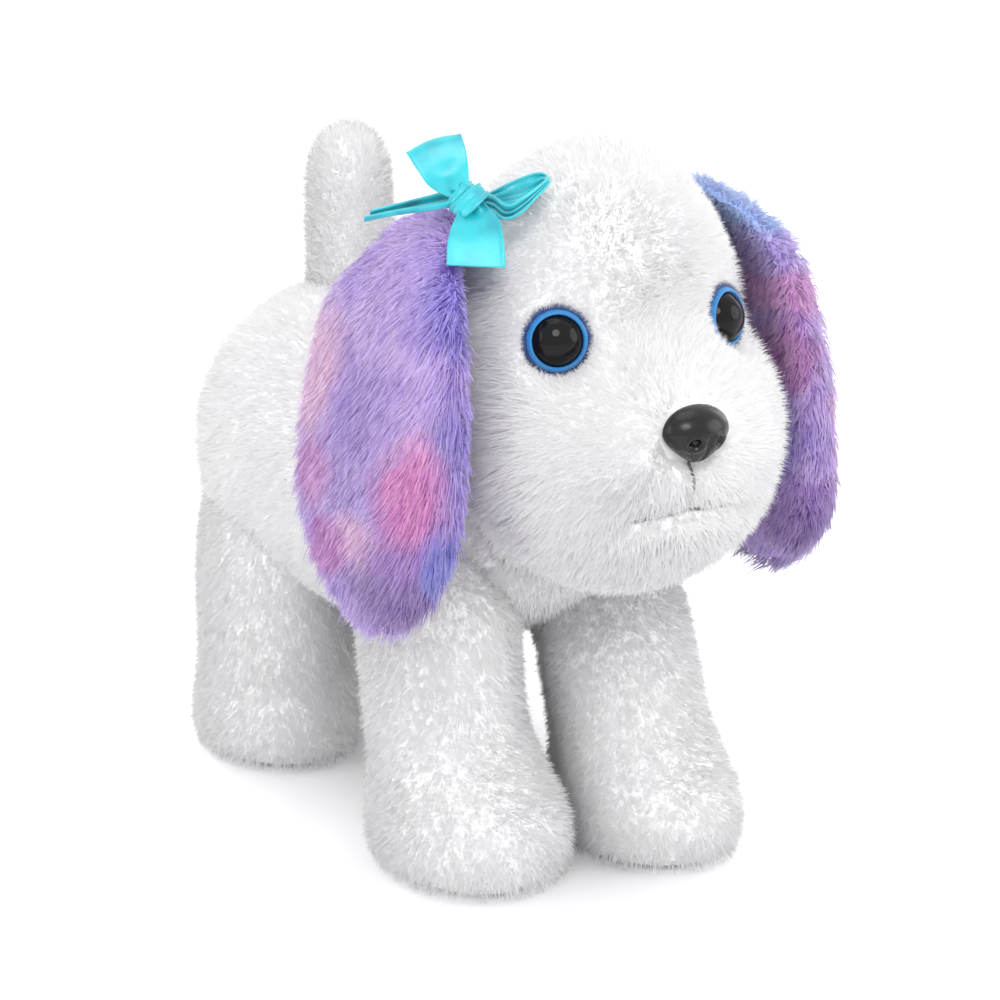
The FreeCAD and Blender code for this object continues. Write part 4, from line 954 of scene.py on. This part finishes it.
for side in ("left", "right"):
    c, nn = EYE_C[side], EYE_N[side]
    prof = [(0.5, 0.1), (4, 0.1), (7.2, 0.1), (7.85, 0.5), (8.0, 1.1)]
    R = (8.0 ** 2 + 5.2 ** 2) / (2 * 5.2)
    for t in np.linspace(0, 1, 16)[1:-1]:
        a = math.asin(8.0 / R) * (1 - t)
        prof.append((R * math.sin(a), 1.3 + 5.2 - R * (1 - math.cos(a))))
    prof.append((0.3, 6.49))
    o = add_obj("eye_%s_dome" % side, *revolve(prof, c, nn), M_EYE)
    m = o.modifiers.new("fine", "SUBSURF")
    m.levels = m.render_levels = 1
    apply_mods(o)
    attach(o, "head")
    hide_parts("eye_" + side)
    # blue iris rim, a moulded ring that rises round the dome, then the felt washer behind it
    iris = [(7.6, 0.9), (7.62, 2.5), (7.95, 2.9), (8.5, 2.8), (8.95, 2.2), (9.2, 1.3), (9.1, 0.8)]
    nv = Vector(nn)
    Rm = np.array(nv.to_track_quat("Z", "Y").to_matrix())
    for nm, sec, mat, slot_ in (("rim", iris, M_IRIS, "blue_felt"), ("felt", [(8.3, -0.4), (8.3, 0.9), (9.0, 1.5), (9.6, 1.4), (9.9, 0.8), (9.7, -0.2)], M_FELT, "blue_felt")):
        k = 72
        th = np.linspace(0, 2 * np.pi, k, endpoint=False)
        rng = np.random.default_rng(5 if side == "left" else 6)
        vs, fs = [], []
        for j, a in enumerate(th):
            w = 0.12 * math.sin(9 * a + 1) + 0.1 * math.sin(17 * a) if nm == "felt" else 0.0
            for r, h in sec:
                rr = r + (w if r > 8.6 else 0)
                vs.append(np.array([rr * math.cos(a), rr * math.sin(a), h]) @ Rm.T + c)
        ns = len(sec)
        for j in range(k):
            for i in range(ns):
                a0, a1 = j * ns + i, j * ns + (i + 1) % ns
                b0, b1 = ((j + 1) % k) * ns + i, ((j + 1) % k) * ns + (i + 1) % ns
                fs.append((a0, b0, b1, a1))
        o = add_obj("eye_%s_%s" % (side, nm), vs, fs, mat)
        m = o.modifiers.new("fine", "SUBSURF")
        m.levels = m.render_levels = 1
        apply_mods(o)
        bm = bmesh.new()
        bm.from_mesh(o.data)
        bmesh.ops.recalc_face_normals(bm, faces=bm.faces)
        bm.to_mesh(o.data)
        bm.free()
        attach(o, "head")
        if nm == "felt":
            felt = o
            # short fuzz round the felt's edge
            o2 = fur("eye_%s_fuzz" % side, o, 2600, 1.6, lambda P, N, c=c: unit(P - c) * 0.8, M_FELT, 91 if side == "left" else 92,
                     lambda P, N, c=c, nn=nn: (np.linalg.norm(P - c - ((P - c) @ nn)[:, None] * nn, axis=1) > 8.9) & (((P - c) @ nn) > 0.0), [], base=0.12, jitter=0.4, uvs=(0, 2))
            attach(o2, "head")
            if side == "left":
                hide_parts("eye_rings")
            else:
                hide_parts("eye_rings")

# ------------------------------------------------------------------ nose
nv_, nf_ = ellipsoid((0, 0, 0), (1, 1, 1), (0, 0, 0), 40, 72)
P = np.array(nv_)
x, y, z = P[:, 0], P[:, 1], P[:, 2]      # y: -1 is forward
wd = 11.2 * np.where(z > 0, 1.0, 1.0 - 0.52 * np.abs(z) ** 1.5)
ht = np.where(z > 0, 8.2, 9.6)
sq = 1 - 0.10 * (1 - np.abs(x)) * 0
X = x * wd
Z = z * ht * (1 - 0.06 * np.where(z > 0, (1 - x ** 2), 0))
Y = np.where(y < 0, y * 8.2, y * 2.4)
Q = np.column_stack([X, Y, Z])
nose = add_obj("nose_button", (Q + np.array([0, -119.4, 158.0])).tolist(), nf_, M_NOSE)
m = nose.modifiers.new("fine", "SUBSURF")
m.levels = m.render_levels = 1
apply_mods(nose)
v = get_v(nose)
n = get_n(nose)
fr = sstep(-n[:, 1], 0.1, 0.6)
for s in (-1, 1):       # nostrils: round hollows with a raised lip
    d = np.hypot((v[:, 0] - s * 4.3) / 1.15, v[:, 2] - 155.6)
    v += n * ((-1.9 * (1 - sstep(d, 0.6, 1.9)) + 0.35 * np.exp(-((d - 2.3) / 0.5) ** 2)) * fr)[:, None]
g = np.exp(-(v[:, 0] / 0.55) ** 2) * (1 - sstep(v[:, 2], 154.0, 159.0)) * fr
v -= n * (0.75 * g)[:, None]
set_v(nose, v)
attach(nose, "head")
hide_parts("nose")

# ------------------------------------------------------------------ mouth: stitched thread in the crease
HEAD_T = bvh(head)


def on_head(x, z, out=0.6):
    hit = HEAD_T.ray_cast(Vector((x * MM, -0.2, z * MM)), Vector((0, 1, 0)))
    p = hit[0]
    return np.array([p.x, p.y, p.z]) / MM + np.array([0, -out, 0])


def rope(name, pts, r, mat, body, k=8, per=6, wob=0.0, seed=1):
    rng = np.random.default_rng(seed)
    pts = spline(np.array(pts), (len(pts) - 1) * per + 1)
    tn = unit(np.gradient(pts, axis=0))
    up = np.array([0, -1.0, 0.2])
    a = unit(np.cross(tn, up))
    b = np.cross(tn, a)
    th = np.linspace(0, 2 * np.pi, k, endpoint=False)
    rr = r * (1 + wob * rng.uniform(-1, 1, len(pts)))
    rr[0] *= 0.5
    rr[-1] *= 0.5
    rings = pts[:, None] + (a[:, None] * np.cos(th)[None, :, None] + b[:, None] * np.sin(th)[None, :, None]) * rr[:, None, None]
    o = add_obj(name, *tube(rings), mat)
    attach(o, body)
    return o


line = [on_head(0, zz, 0.9) for zz in np.linspace(148, 135.5, 7)]
mouth = rope("mouth_stitch_centre", line, 0.5, M_THREAD, "head", wob=0.25, seed=3)
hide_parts("mouth_thread")
for s, nm in ((-1, "right"), (1, "left")):
    # separate back-stitches, each one dipping at its ends
    xs = np.linspace(0.4, 18.5, 9)
    for i in range(8):
        xa, xb = s * xs[i], s * (xs[i + 1] - 0.35)
        pp = []
        for t, dep in ((0, -0.3), (0.2, 0.45), (0.5, 0.7), (0.8, 0.45), (1, -0.3)):
            xx = xa + (xb - xa) * t
            pp.append(on_head(xx, float(MOUTH_Z(np.array(xx))), dep + 0.4))
        rope("mouth_stitch_%s_%d" % (nm, i), pp, 0.42, M_THREAD, "head", wob=0.2, seed=10 + i)

# ------------------------------------------------------------------ bow of 19 mm satin ribbon
KNOT = np.array([-49.75, -76.25, 223.4])
BR, BU, BB = np.array([0.857, -0.515, 0.0]), np.array([0.142, 0.2365, 0.961]), np.array([-0.495, -0.824, 0.276])


def rel(p):
    p = np.asarray(p, float)
    return KNOT + p[..., 0:1] * BR + p[..., 1:2] * BU + p[..., 2:3] * BB


def ribbon(name, rows, body, n=60, k=29, th=0.34, pleat=2.5, width=19.0, blend_to=None):
    """rows: left edge (dr,du,db), right edge (dr,du,db), crown. The cloth that a narrow row can't show lies in its pleats."""
    key = np.array([list(l) + list(r) + [c] for l, r, c in rows], float)
    s = spline(key, n)
    L, R, C = s[:, 0:3], s[:, 3:6], s[:, 6]
    t = np.linspace(0, 1, k)
    mid = (L + R) / 2
    dt = unit(np.gradient(mid, axis=0))
    side = R - L
    chord = np.linalg.norm(side, axis=1)
    nrm = unit(np.cross(unit(side), dt))
    W = np.minimum(width, chord + 5.0 * (1 - sstep(chord, 3.5, 10.5)))
    A = np.sqrt(np.maximum(W ** 2 - chord ** 2, 0)) / (4 * pleat)
    G = np.empty((n, k, 3))
    for i in range(n):
        prof = C[i] * np.sin(np.pi * t) + A[i] * np.sin(2 * np.pi * pleat * t)
        G[i] = L[i] + side[i] * t[:, None] + nrm[i] * prof[:, None]
    G = rel(G)
    # normals of the sheet, then two faces a ribbon's thickness apart, closed at the edges
    du, dv = np.gradient(G, axis=0), np.gradient(G, axis=1)
    N = np.cross(du, dv)
    N /= np.maximum(np.linalg.norm(N, axis=2, keepdims=True), 1e-9)
    sel = np.ones((n, k, 1)) * th / 2
    sel[:, :2] *= 1.7        # the woven edge is thicker
    sel[:, -2:] *= 1.7
    top, bot = G + N * sel, G - N * sel
    v = np.concatenate([top.reshape(-1, 3), bot.reshape(-1, 3)])
    f = []
    m_ = n * k
    for i in range(n - 1):
        for j in range(k - 1):
            a = i * k + j
            f.append((a, a + 1, a + k + 1, a + k))
            f.append((m_ + a, m_ + a + k, m_ + a + k + 1, m_ + a + 1))
    for i in range(n - 1):
        a, b = i * k, i * k + k - 1
        f.append((a, a + k, m_ + a + k, m_ + a))
        f.append((b, m_ + b, m_ + b + k, b + k))
    for j in range(k - 1):
        a, b = j, (n - 1) * k + j
        f.append((a, m_ + a, m_ + a + 1, a + 1))
        f.append((b, b + 1, m_ + b + 1, m_ + b))
    o = add_obj(name, v.tolist(), f, M_SATIN)
    bm = bmesh.new()
    bm.from_mesh(o.data)
    bmesh.ops.recalc_face_normals(bm, faces=bm.faces)
    bm.to_mesh(o.data)
    bm.free()
    if blend_to:
        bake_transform(o)
    else:
        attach(o, body)
    return o


up = ribbon("bow_loop_up", [
    ((-2.8, 0.6, 1.4), (1.2, 2.4, 1.2), 0.0),
    ((-7.2, 1.6, 2.6), (-0.2, 5.0, 2.2), 0.9),
    ((-11.8, 4.2, 3.4), (-0.4, 9.4, 3.0), 1.5),
    ((-15.0, 8.8, 3.0), (-1.0, 14.2, 2.8), 0.6),
    ((-17.6, 13.0, 1.8), (-2.2, 18.4, 1.8), 0.9),
    ((-18.2, 13.9, 0.0), (-2.4, 19.2, 0.0), 1.4),
    ((-17.4, 13.0, -1.8), (-2.2, 18.2, -1.8), 0.9),
    ((-14.4, 8.6, -2.6), (-1.2, 13.6, -2.6), 0.4),
    ((-9.4, 4.2, -2.2), (-0.6, 8.2, -2.2), 0.2),
    ((-2.8, 0.8, -1.2), (1.0, 2.0, -1.2), 0.0)], "head")
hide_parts("bow_loops")
rl = ribbon("bow_loop_right", [
    ((2.6, 1.6, 1.0), (3.4, -2.4, 1.6), 0.0),
    ((6.4, 1.4, 2.6), (6.6, -3.6, 3.4), -0.9),
    ((11.0, -1.6, 4.2), (9.6, -5.8, 4.8), -1.2),
    ((15.4, 0.6, 4.6), (14.2, -4.4, 5.0), -1.0),
    ((20.2, 4.2, 3.0), (20.0, 1.6, 3.4), -0.5),
    ((22.2, 6.6, 0.6), (22.8, 5.2, 0.4), 0.0),
    ((20.6, 8.2, -1.6), (20.8, 2.8, -2.6), 0.5),
    ((16.4, 7.6, -2.6), (15.4, -1.6, -4.2), 1.0),
    ((10.6, 5.0, -2.4), (10.0, -2.6, -3.6), 1.0),
    ((6.0, 2.6, -1.4), (6.2, -1.6, -2.0), 0.4),
    ((2.6, 1.6, -0.8), (3.0, -1.6, -1.0), 0.0)], "head")
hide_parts("bow_loops")
ft = ribbon("bow_tail_front_ribbon", [
    ((-2.6, -1.4, 1.8), (3.4, 0.0, 2.2), 0.0),
    ((-3.6, -4.0, 3.0), (5.4, -2.2, 3.6), 1.2),
    ((-5.6, -8.4, 4.8), (8.2, -5.6, 5.4), 1.2),
    ((-6.6, -13.6, 6.6), (9.6, -11.0, 6.8), 0.8),
    ((-6.8, -19.0, 8.0), (10.0, -19.8, 8.0), 0.5)], "head", n=44)
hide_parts("bow_tail_front")


# knot: crossing bands over a small core
def band(name, pts, wdir, hw, crown, th=0.4, n=40, k=15):
    c = spline(np.array(pts), n)
    wv = spline(np.array(wdir), n)
    wv = unit(wv)
    dt = unit(np.gradient(c, axis=0))
    nr = unit(np.cross(wv, dt))
    t = np.linspace(-1, 1, k)
    h = np.interp(np.linspace(0, 1, n), np.linspace(0, 1, len(hw)), hw)
    G = c[:, None] + wv[:, None] * (t[None, :, None] * h[:, None, None]) + nr[:, None] * (crown * (1 - t ** 2) + 0.16 * np.sin(t * 7))[None, :, None]
    G = rel(G)
    du, dv = np.gradient(G, axis=0), np.gradient(G, axis=1)
    N = np.cross(du, dv)
    N /= np.maximum(np.linalg.norm(N, axis=2, keepdims=True), 1e-9)
    top, bot = G + N * th / 2, G - N * th / 2
    return top, bot, G


def band_obj(name, pts, wdir, hw, crown, n=40, k=15):
    top, bot, G = band(name, pts, wdir, hw, crown, n=n, k=k)
    v = np.concatenate([top.reshape(-1, 3), bot.reshape(-1, 3)])
    f = []
    m_ = n * k
    for i in range(n - 1):
        for j in range(k - 1):
            a = i * k + j
            f.append((a, a + 1, a + k + 1, a + k))
            f.append((m_ + a, m_ + a + k, m_ + a + k + 1, m_ + a + 1))
    for i in range(n - 1):
        a, b = i * k, i * k + k - 1
        f.append((a, a + k, m_ + a + k, m_ + a))
        f.append((b, m_ + b, m_ + b + k, b + k))
    for j in range(k - 1):
        a, b = j, (n - 1) * k + j
        f.append((a, m_ + a, m_ + a + 1, a + 1))
        f.append((b, b + 1, m_ + b + 1, m_ + b))
    o = add_obj(name, v.tolist(), f, M_SATIN)
    bm = bmesh.new()
    bm.from_mesh(o.data)
    bmesh.ops.recalc_face_normals(bm, faces=bm.faces)
    bm.to_mesh(o.data)
    bm.free()
    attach(o, "head")
    return o


def knot_core():
    v, f = ellipsoid((0, 0, 0), (4.2, 4.4, 3.0), (0, 0, 0), 30, 44)
    P = np.array(v)
    w = 0.35 * np.sin(P[:, 0] * 1.9 + P[:, 1] * 1.3) + 0.25 * np.sin(P[:, 0] * 0.8 - P[:, 1] * 2.4)
    P = P * (1 + 0.06 * w)[:, None]
    return rel(P).tolist(), f


kn = add_obj("bow_knot_core", *knot_core(), M_SATIN)
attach(kn, "head")
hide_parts("bow_knot")
wr = band_obj("bow_knot_wrap", [(4.6, 3.6, -1.0), (4.2, 3.4, 2.0), (2.2, 1.6, 4.2), (-0.4, -0.8, 4.6), (-3.0, -3.0, 3.4), (-4.2, -4.2, 0.6), (-3.6, -3.6, -2.2)],
              [(0.7, -0.7, 0.1)] * 7, [1.9, 2.3, 2.6, 2.7, 2.6, 2.3, 1.9], 0.5)
w2 = band_obj("bow_knot_wrap_side", [(1.4, 5.0, -0.6), (0.0, 4.4, 2.4), (-1.8, 2.2, 3.8), (-3.6, 0.2, 3.4), (-5.0, -1.6, 1.6), (-5.4, -2.6, -0.8)],
              [(0.75, -0.66, 0.0)] * 6, [1.2, 1.7, 2.0, 2.0, 1.8, 1.4], 0.35)
# side tail: a ribbon folded along its length, cut at a slant; it lies on the ear's root
st = ribbon("bow_tail_side_ribbon", [
    ((-3.0, 2.4, 0.6), (-3.6, -0.8, 0.8), 0.0),
    ((-7.0, 2.6, 0.2), (-7.2, -1.8, 0.4), 0.9),
    ((-11.4, 1.8, -1.4), (-11.4, -2.4, -1.0), 1.0),
    ((-17.0, 0.6, -3.0), (-17.2, -3.0, -2.6), 0.8),
    ((-23.0, -0.8, -3.8), (-23.4, -3.8, -3.4), 0.6),
    ((-28.8, -2.2, -4.4), (-30.6, -5.2, -4.2), 0.4)], "ear_right", n=50, pleat=1.0,
    blend_to=(("head", "ear_right"), (-5.0, 0.0, 0.0), (-15.0, -1.2, -2.5)))
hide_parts("bow_tail_side")
